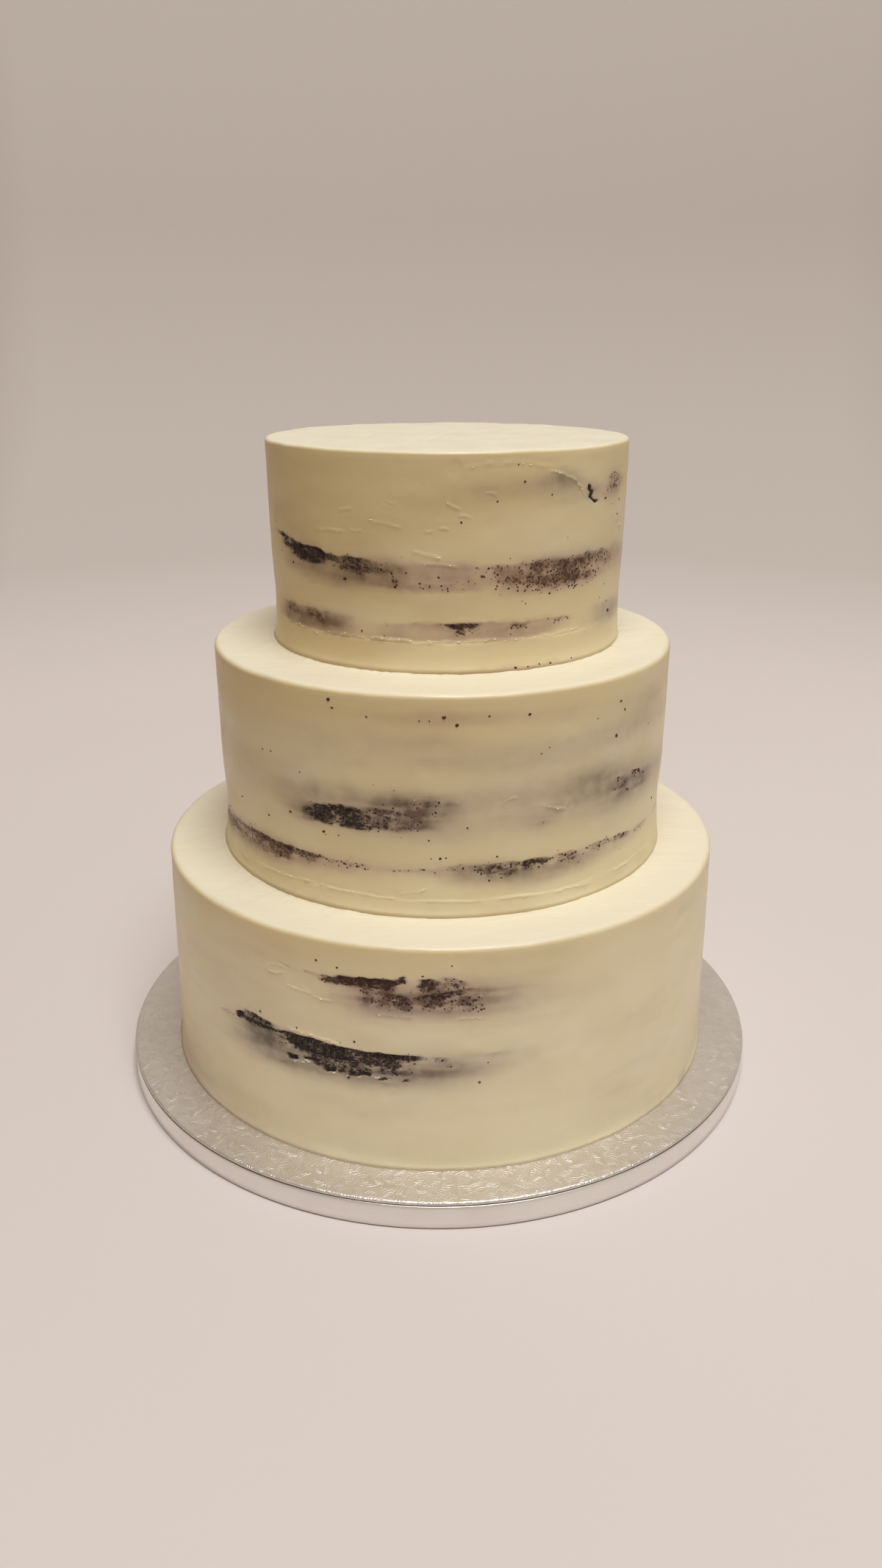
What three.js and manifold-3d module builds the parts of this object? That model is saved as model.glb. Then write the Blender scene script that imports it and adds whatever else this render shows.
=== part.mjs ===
// A three-tier, thinly iced chocolate wedding cake on its foil-covered drum.
// Millimetres, +Z up. The origin is the centre of the drum's underside, and the shown side faces -Y.
import * as THREE from "three";
import { mergeVertices } from "three/addons/utils/BufferGeometryUtils.js";
import Module from "manifold-3d";

const wasm = await Module();
wasm.setup();

// Driving dimensions

const SIDES = 64; // sides of every round piece
const GAP = 0.3; // clearance between pieces that touch
const SLIVER = 0.03; // slivers left by cuts are removed within this distance

const DRUM = {
  radius: 152.4, // a 12 in drum
  height: 12.7,
  bandThickness: 0.6, // the smooth foil strip round the edge
  bandFoot: 0.5,
  bandTop: 11.0,
  lip: 0.25, // how far the top foil's turned edge stays inside the strip's face
  shoulder: 0.9, // rounding where the top foil turns down
};

const COAT = {
  side: 2.8, // icing over the sponge at the side
  top: 4.0, // icing over the top sponge
  rim: 3.0, // rounding of the top edge
  skin: 0.4, // how far a bared crumb face lies below the icing's surface
};

// Heights are above the tier's own foot. Cuts are the heights where sponge and filling change over.
// A bared patch is where the scraper took the icing down to the crumb: degrees round the tier from
// the front, positive to the right, the height of its middle at each end, and its width up the side.
// The back has the same patches in mirror image: one at a degrees there lies at backTurn - a.
const TIERS = [
  {
    name: "tier1",
    centre: [0.8, -2.5],
    height: 101.5,
    footRadius: 129.5,
    topRadius: 127.5,
    waist: { height: 30, depth: 0.3, spread: 20 },
    foot: { flare: 0.4, height: 8 },
    cuts: [28.5, 37, 58.5, 69.5],
    patches: [
      { layer: 4, from: -21, to: 8, left: 83.5, right: 79.5, width: 11 },
      { layer: 2, from: -43, to: 1, left: 52, right: 50.5, width: 9 },
    ],
    backTurn: 200,
  },
  {
    name: "tier2",
    centre: [1.6, -1.5],
    height: 93,
    footRadius: 102.1,
    topRadius: 102.5,
    waist: { height: 21, depth: 1.0, spread: 12 },
    foot: { flare: 0.5, height: 9 },
    cuts: [28, 36, 56.5, 63.5],
    patches: [
      { layer: 2, from: -34, to: -2, left: 40.5, right: 45, width: 7.5 },
      { layer: 0, from: -66, to: -30, left: 15.5, right: 20, width: 5 },
      { layer: 0, from: 3, to: 34, left: 21.5, right: 21.5, width: 4.5 },
    ],
    backTurn: 184,
  },
  {
    name: "tier3",
    centre: [3.6, 4.0],
    height: 85.5,
    footRadius: 77.5,
    topRadius: 78.5,
    waist: { height: 20, depth: 0.5, spread: 12 },
    foot: { flare: 0.6, height: 6 },
    cuts: [24.5, 30, 52, 58.5],
    patches: [
      { layer: 2, from: -62, to: -22, left: 46.5, right: 40.5, width: 6 },
      { layer: 2, from: 11, to: 59, left: 37, right: 38, width: 9 },
      { layer: 0, from: -3, to: 12, left: 18.5, right: 18.5, width: 3.5 },
    ],
    backTurn: 172,
  },
];

const LAYER_NAMES = ["sponge_bottom", "filling_lower", "sponge_middle", "filling_upper", "sponge_top"];

const PATCH_STEP = 6; // degrees between the columns of a bared patch
const PATCH_BITE = 1.2; // how deep a bared face's crumb is rooted in its sponge
const PATCH_OVERRUN = 4; // how far the scraped opening is cut past the icing's surface
const PATCH_TIP = 0.3; // a patch's width at its ends, as a share of the width in the middle
const PATCH_RAGGED = 0.22; // unevenness of a patch's edges, as a share of its width

// Materials

const icing = { color: 0xdccfae, roughness: 0.5, metalness: 0 };
const sponge = { color: 0x2c2020, roughness: 0.95, metalness: 0 };
const filling = { color: 0xd9c9a0, roughness: 0.55, metalness: 0 };
const foil = { color: 0xcbbcab, roughness: 0.3, metalness: 0.85 };
const band = { color: 0xcfc3ba, roughness: 0.25, metalness: 0.85 };

// Solids

// Closes a geometry into a solid that can be joined and cut.
function solid(geometry) {
  const bare = geometry.clone();
  bare.deleteAttribute("normal");
  bare.deleteAttribute("uv");
  const merged = mergeVertices(bare, 1e-4);
  const index = merged.index.array;
  const triangles = [];
  for (let i = 0; i < index.length; i += 3) {
    const [a, b, c] = [index[i], index[i + 1], index[i + 2]];
    if (a !== b && b !== c && c !== a) {
      triangles.push(a, b, c);
    }
  }
  return new wasm.Manifold(new wasm.Mesh({
    numProp: 3,
    vertProperties: new Float32Array(merged.attributes.position.array),
    triVerts: new Uint32Array(triangles),
  }));
}

function mesh(name, body, look) {
  const result = body.simplify(SLIVER).getMesh();
  const geometry = new THREE.BufferGeometry();
  geometry.setAttribute("position", new THREE.BufferAttribute(new Float32Array(result.vertProperties), 3));
  geometry.setIndex(new THREE.BufferAttribute(new Uint32Array(result.triVerts), 1));
  geometry.computeVertexNormals();
  const made = new THREE.Mesh(geometry, new THREE.MeshStandardMaterial(look));
  made.name = name;
  return made;
}

// Turns a profile of [radius, height] points, listed upwards along the outside, about +Z.
function turned(points) {
  const profile = points.map(([radius, height]) => new THREE.Vector2(radius, height));
  return solid(new THREE.LatheGeometry(profile, SIDES).rotateX(Math.PI / 2));
}

function disc(radius, low, high) {
  return turned([[0, low], [radius, low], [radius, high], [0, high]]);
}

// Points of a quarter round from straight up the side to flat across the top.
function rounding(radius, top, size, steps) {
  const points = [];
  for (let i = 0; i <= steps; i += 1) {
    const turn = (i / steps) * (Math.PI / 2);
    points.push([radius - size * (1 - Math.cos(turn)), top - size * (1 - Math.sin(turn))]);
  }
  return points;
}

// Drum

function drumBoard() {
  const boardRadius = DRUM.radius - DRUM.bandThickness - GAP;
  const lipRadius = DRUM.radius - DRUM.lip;
  const lipFoot = DRUM.bandTop + GAP;
  return turned([
    [0, 0],
    [boardRadius, 0],
    [boardRadius, lipFoot],
    [lipRadius, lipFoot + DRUM.lip],
    ...rounding(lipRadius, DRUM.height, DRUM.shoulder, 3),
    [0, DRUM.height],
  ]);
}

function drumBand() {
  const inner = DRUM.radius - DRUM.bandThickness;
  const { radius, bandFoot, bandTop } = DRUM;
  return turned([
    [inner, bandFoot],
    [radius, bandFoot],
    [radius, bandTop],
    [inner, bandTop],
    [inner, bandFoot],
  ]);
}

// Tiers

// The icing's radius at a height above the tier's foot: a slight taper, a waist where the scraper
// pressed hardest, and a flare where the icing meets what is under it.
function coatRadius(tier, height) {
  const taper = tier.footRadius + (tier.topRadius - tier.footRadius) * (height / tier.height);
  const { waist, foot } = tier;
  const pressed = waist.depth * Math.exp(-(((height - waist.height) / waist.spread) ** 2));
  const flare = height < foot.height ? foot.flare * (1 - height / foot.height) ** 2 : 0;
  return taper - pressed + flare;
}

// The radius of the stacked layers, which keep to one straight stack inside the icing.
function stackRadius(tier) {
  const narrowest = coatRadius(tier, tier.waist.height);
  return narrowest - COAT.side - GAP;
}

function coatShell(tier) {
  const { height, foot, waist } = tier;
  const heights = [GAP, foot.height, waist.height, height / 2];
  const inner = stackRadius(tier) + GAP;
  const underTop = height - COAT.top;
  const side = heights.map((level) => [coatRadius(tier, level), level]);
  return turned([
    [0, underTop],
    [inner, underTop],
    [inner, GAP],
    ...side,
    ...rounding(coatRadius(tier, height - COAT.rim), height, COAT.rim, 3),
    [0, height],
  ]);
}

// A tier's patches, front and back.
function allPatches(tier) {
  const back = tier.patches.map((patch) => ({
    ...patch,
    from: tier.backTurn - patch.to,
    to: tier.backTurn - patch.from,
    left: patch.right,
    right: patch.left,
  }));
  return [...tier.patches, ...back];
}

// Where a patch's ragged edge lies at a share u of its length: its middle height and its half width.
function patchEdge(patch, u) {
  const middle = patch.left + (patch.right - patch.left) * u;
  const swell = PATCH_TIP + (1 - PATCH_TIP) * Math.sin(Math.PI * u);
  const ragged = PATCH_RAGGED * Math.sin(17 * u + patch.from) * Math.sin(Math.PI * u);
  return { middle: middle + ragged * patch.width * 0.5, half: patch.width * 0.5 * swell * (1 + ragged) };
}

// A bar bent round the tier between two radii, tapered to the patch's outline.
function patchBar(patch, innerRadius, outerRadius, shrink) {
  const columns = Math.ceil((patch.to - patch.from) / PATCH_STEP);
  const bar = new THREE.BoxGeometry(1, 1, 1, columns, 1, 1);
  const position = bar.attributes.position;
  const turnShrink = shrink / outerRadius;
  for (let i = 0; i < position.count; i += 1) {
    const u = position.getX(i) + 0.5;
    const { middle, half } = patchEdge(patch, u);
    const from = THREE.MathUtils.degToRad(patch.from) + turnShrink;
    const to = THREE.MathUtils.degToRad(patch.to) - turnShrink;
    const turn = from + (to - from) * u;
    const radius = position.getZ(i) > 0 ? outerRadius : innerRadius;
    const height = middle + Math.sign(position.getY(i)) * (half - shrink);
    position.setXYZ(i, radius * Math.sin(turn), -radius * Math.cos(turn), height);
  }
  return solid(bar);
}

function layerSpan(tier, layer) {
  const edges = [0, ...tier.cuts, tier.height - COAT.top];
  const low = layer === 0 ? GAP : edges[layer] + GAP / 2;
  const high = edges[layer + 1] - (layer === LAYER_NAMES.length - 1 ? GAP : GAP / 2);
  return { low, high };
}

// A sponge or filling disc, with the crumb that fills each bared patch of its own height.
function layerBody(tier, layer) {
  const { low, high } = layerSpan(tier, layer);
  const radius = stackRadius(tier);
  let body = disc(radius, low, high);
  for (const patch of allPatches(tier).filter((bared) => bared.layer === layer)) {
    const face = coatRadius(tier, (patch.left + patch.right) / 2) - COAT.skin;
    body = body.add(patchBar(patch, radius - PATCH_BITE, face, GAP));
  }
  return body;
}

function coatBody(tier) {
  let body = coatShell(tier);
  for (const patch of allPatches(tier)) {
    const inner = stackRadius(tier) - PATCH_BITE;
    body = body.subtract(patchBar(patch, inner, tier.footRadius + PATCH_OVERRUN, 0));
  }
  return body;
}

function tierGroup(tier, foot) {
  const group = new THREE.Group();
  group.position.set(tier.centre[0], tier.centre[1], foot);
  LAYER_NAMES.forEach((name, layer) => {
    const look = name.startsWith("sponge") ? sponge : filling;
    group.add(mesh(`${tier.name}_${name}`, layerBody(tier, layer), look));
  });
  group.add(mesh(`${tier.name}_icing`, coatBody(tier), icing));
  return group;
}

// The whole cake

const cake = new THREE.Group();
cake.add(mesh("cake_drum", drumBoard(), foil));
cake.add(mesh("drum_edge_band", drumBand(), band));

let foot = DRUM.height;
for (const tier of TIERS) {
  cake.add(tierGroup(tier, foot));
  foot += tier.height;
}

export default cake;
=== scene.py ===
"""A tiered, thinly iced chocolate wedding cake on its foil-covered drum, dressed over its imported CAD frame.

Blender's units are metres. The forms below are worked out in millimetres and scaled when a mesh is made.
An angle is measured round a tier from its front, which faces -Y, positive towards +X.
"""

import itertools
import math
from collections import namedtuple

import bmesh
import bpy
import numpy as np
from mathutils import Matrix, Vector


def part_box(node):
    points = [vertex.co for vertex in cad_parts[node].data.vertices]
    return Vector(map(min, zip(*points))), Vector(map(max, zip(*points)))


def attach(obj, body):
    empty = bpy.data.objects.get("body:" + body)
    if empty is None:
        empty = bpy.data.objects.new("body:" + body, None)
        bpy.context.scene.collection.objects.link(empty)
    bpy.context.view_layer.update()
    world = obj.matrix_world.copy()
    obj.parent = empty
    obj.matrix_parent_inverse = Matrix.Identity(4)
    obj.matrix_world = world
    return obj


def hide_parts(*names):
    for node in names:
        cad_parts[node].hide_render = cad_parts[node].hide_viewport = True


MM = 0.001
TAU = 2 * math.pi

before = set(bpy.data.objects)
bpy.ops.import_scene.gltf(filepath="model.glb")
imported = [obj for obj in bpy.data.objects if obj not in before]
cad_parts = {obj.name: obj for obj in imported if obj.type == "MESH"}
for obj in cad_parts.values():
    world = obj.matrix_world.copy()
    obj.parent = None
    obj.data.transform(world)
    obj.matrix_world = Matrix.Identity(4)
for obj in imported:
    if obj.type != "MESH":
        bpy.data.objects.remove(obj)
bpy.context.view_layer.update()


# Noise in space, in millimetres

def lattice_value(cells, seed):
    """A repeatable number from 0 to 1 for each point of a lattice."""
    mixed = 0
    for axis, factor in enumerate((0x9E3779B1, 0x85EBCA77, 0xC2B2AE3D)):
        mixed = mixed ^ cells[..., axis].astype(np.uint32) * np.uint32(factor)
    mixed += np.uint32(seed * 7919 + 17)
    for shift, factor in ((15, 0x2C1B3C6D), (12, 0x297A2D39)):
        mixed ^= mixed >> np.uint32(shift)
        mixed *= np.uint32(factor)
    mixed ^= mixed >> np.uint32(15)
    return mixed.astype(np.float64) / 2**32


def value_noise(points, size, seed):
    """Smooth noise from -1 to 1 with features about size apart; size may differ by axis."""
    scaled = points / np.asarray(size, float)
    cell = np.floor(scaled).astype(np.int64)
    part = scaled - cell
    part = part * part * (3 - 2 * part)
    total = 0.0
    for step in itertools.product((0, 1), repeat=3):
        weight = np.abs(1 - np.array(step) - part)
        weight = weight[..., 0] * weight[..., 1] * weight[..., 2]
        total = total + weight * lattice_value(cell + step, seed)
    return 2 * total - 1


def layered_noise(points, size, seed, octaves=3):
    """Several value noises, each half the size and half the height of the one before."""
    size = np.asarray(size, float)
    shares = [0.5**octave for octave in range(octaves)]
    total = 0.0
    for octave, share in enumerate(shares):
        total = total + share * value_noise(points, size * share, seed + octave)
    return total / sum(shares)


def pebbles(points, size, seed):
    """Rounded lumps of uneven size, from 0 between them to 1 at the top of the largest."""
    scaled = points / size
    cell = np.floor(scaled).astype(np.int64)
    part = scaled - cell
    highest = np.zeros(points.shape[:-1])
    for step in itertools.product((-1, 0, 1), repeat=3):
        near = cell + step
        away = 0.0
        for axis in range(3):
            away = away + (step[axis] + lattice_value(near, seed + axis) - part[..., axis]) ** 2
        bulk = 0.35 + 0.65 * lattice_value(near, seed + 3)
        highest = np.maximum(highest, bulk * (1 - away / (0.25 + 0.55 * bulk) ** 2))
    return highest


def smooth_step(low, high, value):
    share = np.clip((value - low) / (high - low), 0, 1)
    return share * share * (3 - 2 * share)


def bell(value, middle, width):
    """1 at the middle, falling off to 0 both ways."""
    return np.exp(-(((value - middle) / width) ** 2))


# The tiers

# waist is the height, depth and spread of the place where the scraper pressed hardest, flare the icing's
# spread at the foot and its height, band the height, thickness and ends of a thicker band there, and rim
# the rounding of the top edge. The side's painted shade is how much yellower and darker than the top the
# side is painted, for the less light that reaches it. mirror is the angle at whose half the front's marks
# turn over into the back's.
Tier = namedtuple(
    "Tier",
    "name centre foot height foot_radius top_radius waist flare rim band golden mirror hazes strokes specks",
)

# A haze is a soft patch of thinner icing that greys: the angle and height of its middle, how far it reaches
# either way in degrees and in mm, how thin it is, from 0 to 1, or thick below 0, and warm: 0 for blue-grey,
# 1 for mauve.
# The hazes that lie within a few mm of a tier's foot darken the corner where it meets what it stands on:
# partly crumb smeared there, partly painted shade in that corner.
Haze = namedtuple("Haze", "angle height reach tall veil warm")

# A stroke is one pass of the scraper that took icing off: degrees from start to end, the height of its
# middle at each end and its width, in mm above the tier's foot. veil is how far the icing is thinned and
# crumb how much bare crumb shows, both from 0 to 1. upper and lower are how softly its edges fade, in mm,
# and ends is the share of its length over which each end fades.
Stroke = namedtuple("Stroke", "start end left right width veil crumb upper lower ends warm")

# A speck is one loose crumb: degrees, height, length round the tier, height of the crumb, slant in degrees.
Speck = namedtuple("Speck", "angle height length tall slant")


def listed(kind, *rows):
    """Marks of one kind, their values in the kind's own order."""
    return [kind(*row) for row in rows]


TIER1_HAZES = listed(
    Haze,
    (-34, 47.5, 8, 7.5, 0.84, 0), (-36, 53, 6, 3.5, 0.5, 0.1), (-24, 42.5, 16, 5.5, 0.55, 0),
    (-8, 44, 12, 5.5, 0.56, 0.3), (1, 48.5, 9, 5.5, 0.68, 0.4), (11, 51, 9, 5, 0.18, 0.2),
    (-20, 39.5, 22, 5, 0.16, 0), (-9, 77, 9, 7, 0.84, 0.8), (2, 79.5, 7, 8.5, 0.64, 0.8),
    (9, 79.5, 6.5, 8.5, 0.4, 0.4), (15, 79, 8, 7.5, 0.16, 0.2), (-2, 73, 10, 3, 0.2, 0.8),
    (-14, 84, 9, 3, 0.3, 1), (26, 76, 12, 6, 0.07, 0.3), (58, 2, 2.5, 3, 0.3, 0.4),
    (-52, 1.2, 26, 2.4, 0.24, 0.8), (-22, 0.6, 16, 1.6, 0.14, 0.8), (-62, 9, 16, 10, 0.1, 0.8),
    (40, 30, 22, 14, 0.05, 0.3),
)

TIER1_STROKES = listed(
    Stroke,
    (-32, -20, 86, 84.6, 1.3, 0.55, 0.16, 0.7, 1.5, 0.45, 1),
    (-23, -15, 84, 83.6, 2.8, 0.8, 0.74, 0.7, 2, 0.3, 0.7),
    (-20, -5.6, 84, 84.4, 5.2, 0.92, 0.9, 0.8, 2, 0.16, 0.4),
    (-13, -5.4, 85.4, 86.4, 2.6, 0.6, 0.6, 0.7, 1.5, 0.25, 0.6),
    (-7.8, -5.6, 86.5, 88, 3.4, 0.8, 0.85, 1.2, 1, 0.4, 0.6),
    (-17, -6, 81.4, 80.6, 6, 0.54, 0.5, 1.5, 2, 0.3, 0.9),
    (-10.5, -4.2, 78.4, 76, 7, 0.7, 0.74, 1.5, 1.5, 0.28, 0.5),
    (-15.5, -9, 76.5, 75.5, 4, 0.4, 0.46, 1.2, 1.5, 0.35, 0.9),
    (-4.8, -0.2, 86, 84.5, 5.2, 0.75, 0.74, 1, 1.5, 0.28, 0.4),
    (-1.5, 5, 86.4, 85.8, 4.4, 0.6, 0.52, 1, 1.8, 0.35, 0.6),
    (-5, 1.5, 76, 79.5, 6.4, 0.66, 0.66, 1.2, 1.5, 0.28, 0.5),
    (-1, 6, 78.5, 83.5, 3.4, 0.6, 0.7, 0.9, 1.2, 0.3, 0.4),
    (-4.5, 6, 81.6, 83, 6, 0.56, 0.42, 2, 2, 0.35, 0.6),
    (-0.5, 8, 74.6, 80.5, 4.2, 0.5, 0.6, 0.9, 1.4, 0.25, 0.7),
    (2.5, 8, 73.4, 77, 2.6, 0.4, 0.5, 0.9, 1.2, 0.3, 0.8),
    (-49, -41, 51.6, 52.3, 1.2, 0.4, 0.08, 0.6, 1, 0.4, 1),
    (-42.6, -39.4, 53.2, 53.8, 3.2, 0.85, 0.92, 0.7, 1.2, 0.25, 0.2),
    (-41.5, -31, 54.2, 54.4, 5.4, 0.7, 0.44, 0.8, 1.5, 0.25, 0.2),
    (-41, -32, 56, 56, 2.2, 0.6, 0.6, 0.6, 1.5, 0.3, 0.2),
    (-40, -33, 52.6, 53.2, 2.4, 0.6, 0.56, 0.8, 1.6, 0.3, 0.2),
    (-38, -27, 53, 53.6, 1.2, 0.6, 0.75, 0.5, 0.8, 0.2, 0.1),
    (-35, -24, 50, 48.5, 4.6, 0.6, 0.4, 1.5, 2.5, 0.35, 0.1),
    (-31, -15, 52.2, 50.4, 7.2, 0.95, 0.88, 0.7, 2.2, 0.16, 0.1),
    (-28, -11, 46.4, 45.6, 6.4, 0.85, 0.66, 1.5, 1.8, 0.28, 0.1),
    (-24, -16, 43.2, 42.6, 2.6, 0.6, 0.46, 1.2, 1, 0.35, 0.1),
    (-30, -26, 43.5, 43.9, 2.2, 0.9, 0.96, 0.5, 0.5, 0.3, 0.1),
    (-25.4, -22, 45, 45.6, 1.7, 0.9, 0.96, 0.5, 0.5, 0.3, 0.1),
    (-23, -19.4, 42.2, 43, 2.8, 0.9, 0.96, 0.6, 0.6, 0.3, 0.1),
    (-17.4, -13, 42.4, 43, 1.6, 0.9, 0.96, 0.5, 0.5, 0.3, 0.1),
    (-12.6, -9.6, 42, 41.6, 1.4, 0.9, 0.96, 0.5, 0.5, 0.35, 0.1),
    (-8, -5.8, 41.6, 41.8, 1.2, 0.9, 0.9, 0.5, 0.5, 0.35, 0.1),
    (-21, -3, 50.2, 50.8, 6.4, 0.95, 0.78, 0.7, 2, 0.3, 0.1),
    (-14, -1, 52.2, 52.6, 2.2, 0.9, 0.8, 0.6, 1, 0.35, 0.1),
    (-14, -3.5, 45.8, 46.8, 4.4, 0.7, 0.58, 1.2, 1.6, 0.35, 0.2),
    (-3, 1.2, 52.2, 52, 2.2, 0.6, 0.5, 0.8, 1.2, 0.35, 0.3),
    (0.2, 3.2, 49.6, 50, 2.4, 0.3, 0.35, 0.8, 0.8, 0.35, 0.9),
    (3, 14, 53, 54.4, 2, 0.16, 0.05, 0.8, 2.5, 0.5, 0.2),
)

TIER2_HAZES = listed(
    Haze,
    (-17, 46, 19, 7.5, 0.52, 0.2), (-6, 43.5, 9, 8.5, 0.58, 0.3), (-33, 40, 6, 5, 0.4, 0.2),
    (-8, 49, 8, 4, 0.34, 0.2), (-30.5, 50, 2.6, 5, 0.26, 0.2), (-21.5, 51, 2.4, 4.5, 0.26, 0.2),
    (-22, 38, 13, 5, 0.3, 0.1), (-2, 36, 10, 4, 0.16, 0.3), (-36, 44, 7, 8, 0.26, 0.3),
    (12, 46, 15, 11, 0.27, 0.5), (26, 50, 11, 8, 0.24, 0.3), (23, 38, 7, 4.5, 0.28, 0.7),
    (44, 45.5, 17, 11, 0.54, 0.1), (51, 43, 10, 8, 0.44, 0.1), (38, 52, 10, 6, 0.26, 0.1),
    (64, 42, 9, 8, 0.36, 0.2), (-60, 15.4, 14, 5, 0.56, 1), (-46, 16.6, 13, 5.6, 0.62, 1),
    (-74, 13, 10, 4.5, 0.5, 0.8), (-28, 18, 12, 4.2, 0.3, 1), (-10, 20, 14, 3, 0.2, 0.9),
    (8, 18.5, 10, 5, 0.55, 0.5), (20, 16, 12, 5.5, 0.56, 0.3), (34, 17, 8, 5, 0.4, 0.4),
    (48, 18.5, 12, 3.6, 0.26, 0.5), (30, 67, 34, 7, 0.26, 0.2), (56, 74, 18, 10, 0.22, 0.1),
    (-46, 47, 13, 9, 0.13, 0.3), (2, 83.5, 15, 2.6, 0.24, 1), (26, 82, 14, 4, 0.14, 0.6),
    (-32, 70, 22, 12, 0.09, 0.4), (-32, 0.3, 22, 1.2, 0.2, 1), (-60, 55, 12, 16, 0.1, 0.3),
    (-6, 72, 14, 6, 0.09, 0.6), (-66, 66, 5, 3, -0.2, 0),
)

TIER2_STROKES = listed(
    Stroke,
    (-37, -24, 38.6, 38.8, 5, 0.6, 0.34, 1.5, 1.6, 0.45, 0.1),
    (-34.5, -24, 41, 40.6, 6, 0.8, 0.56, 1.2, 1.6, 0.45, 0.1),
    (-32, -15, 40, 39.6, 9, 0.86, 0.72, 1.8, 1.8, 0.3, 0.1),
    (-29, -19, 43.2, 43.4, 4, 0.6, 0.6, 1.4, 1.5, 0.35, 0.1),
    (-29, 1, 39.8, 41.4, 9.6, 0.44, 0.5, 2.6, 2.2, 0.6, 0.2),
    (-21, -5, 43.8, 44.6, 2.6, 0.56, 0.34, 1.5, 1.5, 0.45, 0.2),
    (-19, -9, 38.4, 38, 2.6, 0.5, 0.34, 1.5, 1.2, 0.4, 0.2),
    (-18, 4, 45.4, 46.8, 7.5, 0.42, 0.22, 3.2, 2.8, 0.46, 0.3),
    (-11, 0, 39.4, 40, 5, 0.56, 0.18, 2, 2, 0.4, 0.4),
    (-9, 2, 47.8, 49, 2.6, 0.34, 0.26, 1.6, 1.8, 0.45, 0.4),
    (42, 52, 45.5, 44, 6, 0.24, 0.18, 2.5, 2.5, 0.45, 0.3),
    (43.5, 48, 47.8, 48, 2, 0.3, 0.44, 1, 1, 0.35, 0.3),
    (50.5, 56, 48, 46.8, 2.6, 0.5, 0.66, 1, 1.2, 0.35, 0.3),
    (47, 63, 43.5, 42, 7, 0.2, 0.14, 3, 3, 0.45, 0.3),
    (20, 27, 38.5, 38, 3.6, 0.14, 0.14, 1.5, 1.5, 0.4, 0.7),
    (-88, -60, 13, 15.6, 4.6, 0.5, 0.42, 1, 3, 0.3, 0.9),
    (-74, -34, 15.2, 18.6, 6.5, 0.44, 0.44, 0.8, 3.5, 0.25, 1),
    (-50, -38, 16.6, 17.6, 5.6, 0.55, 0.44, 1.5, 2.5, 0.3, 0.7),
    (-56, -26, 19.8, 20, 2, 0.3, 0.66, 0.6, 1.2, 0.2, 1),
    (-44, -29, 18.8, 18.8, 3.2, 0.4, 0.6, 0.8, 1.6, 0.3, 0.9),
    (-32, -13, 18.8, 19.2, 2.4, 0.22, 0.46, 0.8, 1.5, 0.3, 1),
    (-16, 4, 19.2, 20.6, 1.6, 0.22, 0.16, 0.8, 1.5, 0.3, 1),
    (-2, 10, 21.2, 21, 3, 0.3, 0.34, 0.8, 2, 0.35, 0.6),
    (5, 28, 20, 20, 4.6, 0.45, 0.44, 0.8, 2, 0.25, 0.6),
    (6, 19, 18.4, 18.2, 4.4, 0.36, 0.44, 1, 1.6, 0.35, 0.8),
    (17, 27, 20.6, 20.4, 3, 0.45, 0.6, 0.7, 1.4, 0.3, 0.4),
    (26, 36, 20.2, 20.2, 4.4, 0.46, 0.54, 0.8, 1.6, 0.35, 0.8),
    (34, 45, 20.4, 20.4, 3, 0.42, 0.56, 0.8, 1.5, 0.3, 0.6),
    (42, 53, 20.2, 20, 3, 0.42, 0.56, 0.8, 1.5, 0.3, 0.7),
    (51, 64, 19.6, 19.2, 2.4, 0.36, 0.46, 0.8, 1.5, 0.35, 0.7),
    (62, 88, 19, 18, 2.2, 0.24, 0.16, 1, 2, 0.4, 0.6),
)

TIER3_HAZES = listed(
    Haze,
    (-50, 43, 12, 5.5, 0.45, 0.3), (-38, 38, 16, 5.5, 0.36, 0.6), (-27, 37, 9, 6.5, 0.48, 0.5),
    (-20, 42, 6, 3.5, 0.32, 0.5), (-16, 37, 5, 5.5, 0.34, 0.7), (36, 38, 20, 6.8, 0.68, 1),
    (43, 38, 11, 5, 0.45, 1), (22, 36, 10, 6, 0.36, 1), (60, 40, 10, 5, 0.34, 0.7),
    (72, 38, 12, 6.5, 0.26, 0.2), (-46, 17, 15, 4.4, 0.54, 0.6), (-43, 18, 6, 3.4, 0.36, 0.8),
    (4, 38, 12, 5, 0.12, 1), (4, 17, 11, 3.2, 0.3, 0.8), (22, 17.5, 8, 2.6, 0.2, 0.8),
    (34, 73.5, 8, 3.6, 0.56, 0), (20, 72, 14, 5, 0.22, 0.3), (6, 70, 10, 4.5, 0.16, 0.6),
    (40, 69, 10, 5, 0.2, 0.1), (60, 68, 9, 6.5, 0.44, 0.9), (47, 68, 4, 4.5, 0.34, 0.3),
    (62, 16, 12, 4.5, 0.3, 0.2), (18, 0.2, 30, 1.2, 0.36, 1), (-4, 66, 7, 4, 0.1, 0.6),
    (-10, 58, 16, 5, 0.05, 0.6),
)

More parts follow.
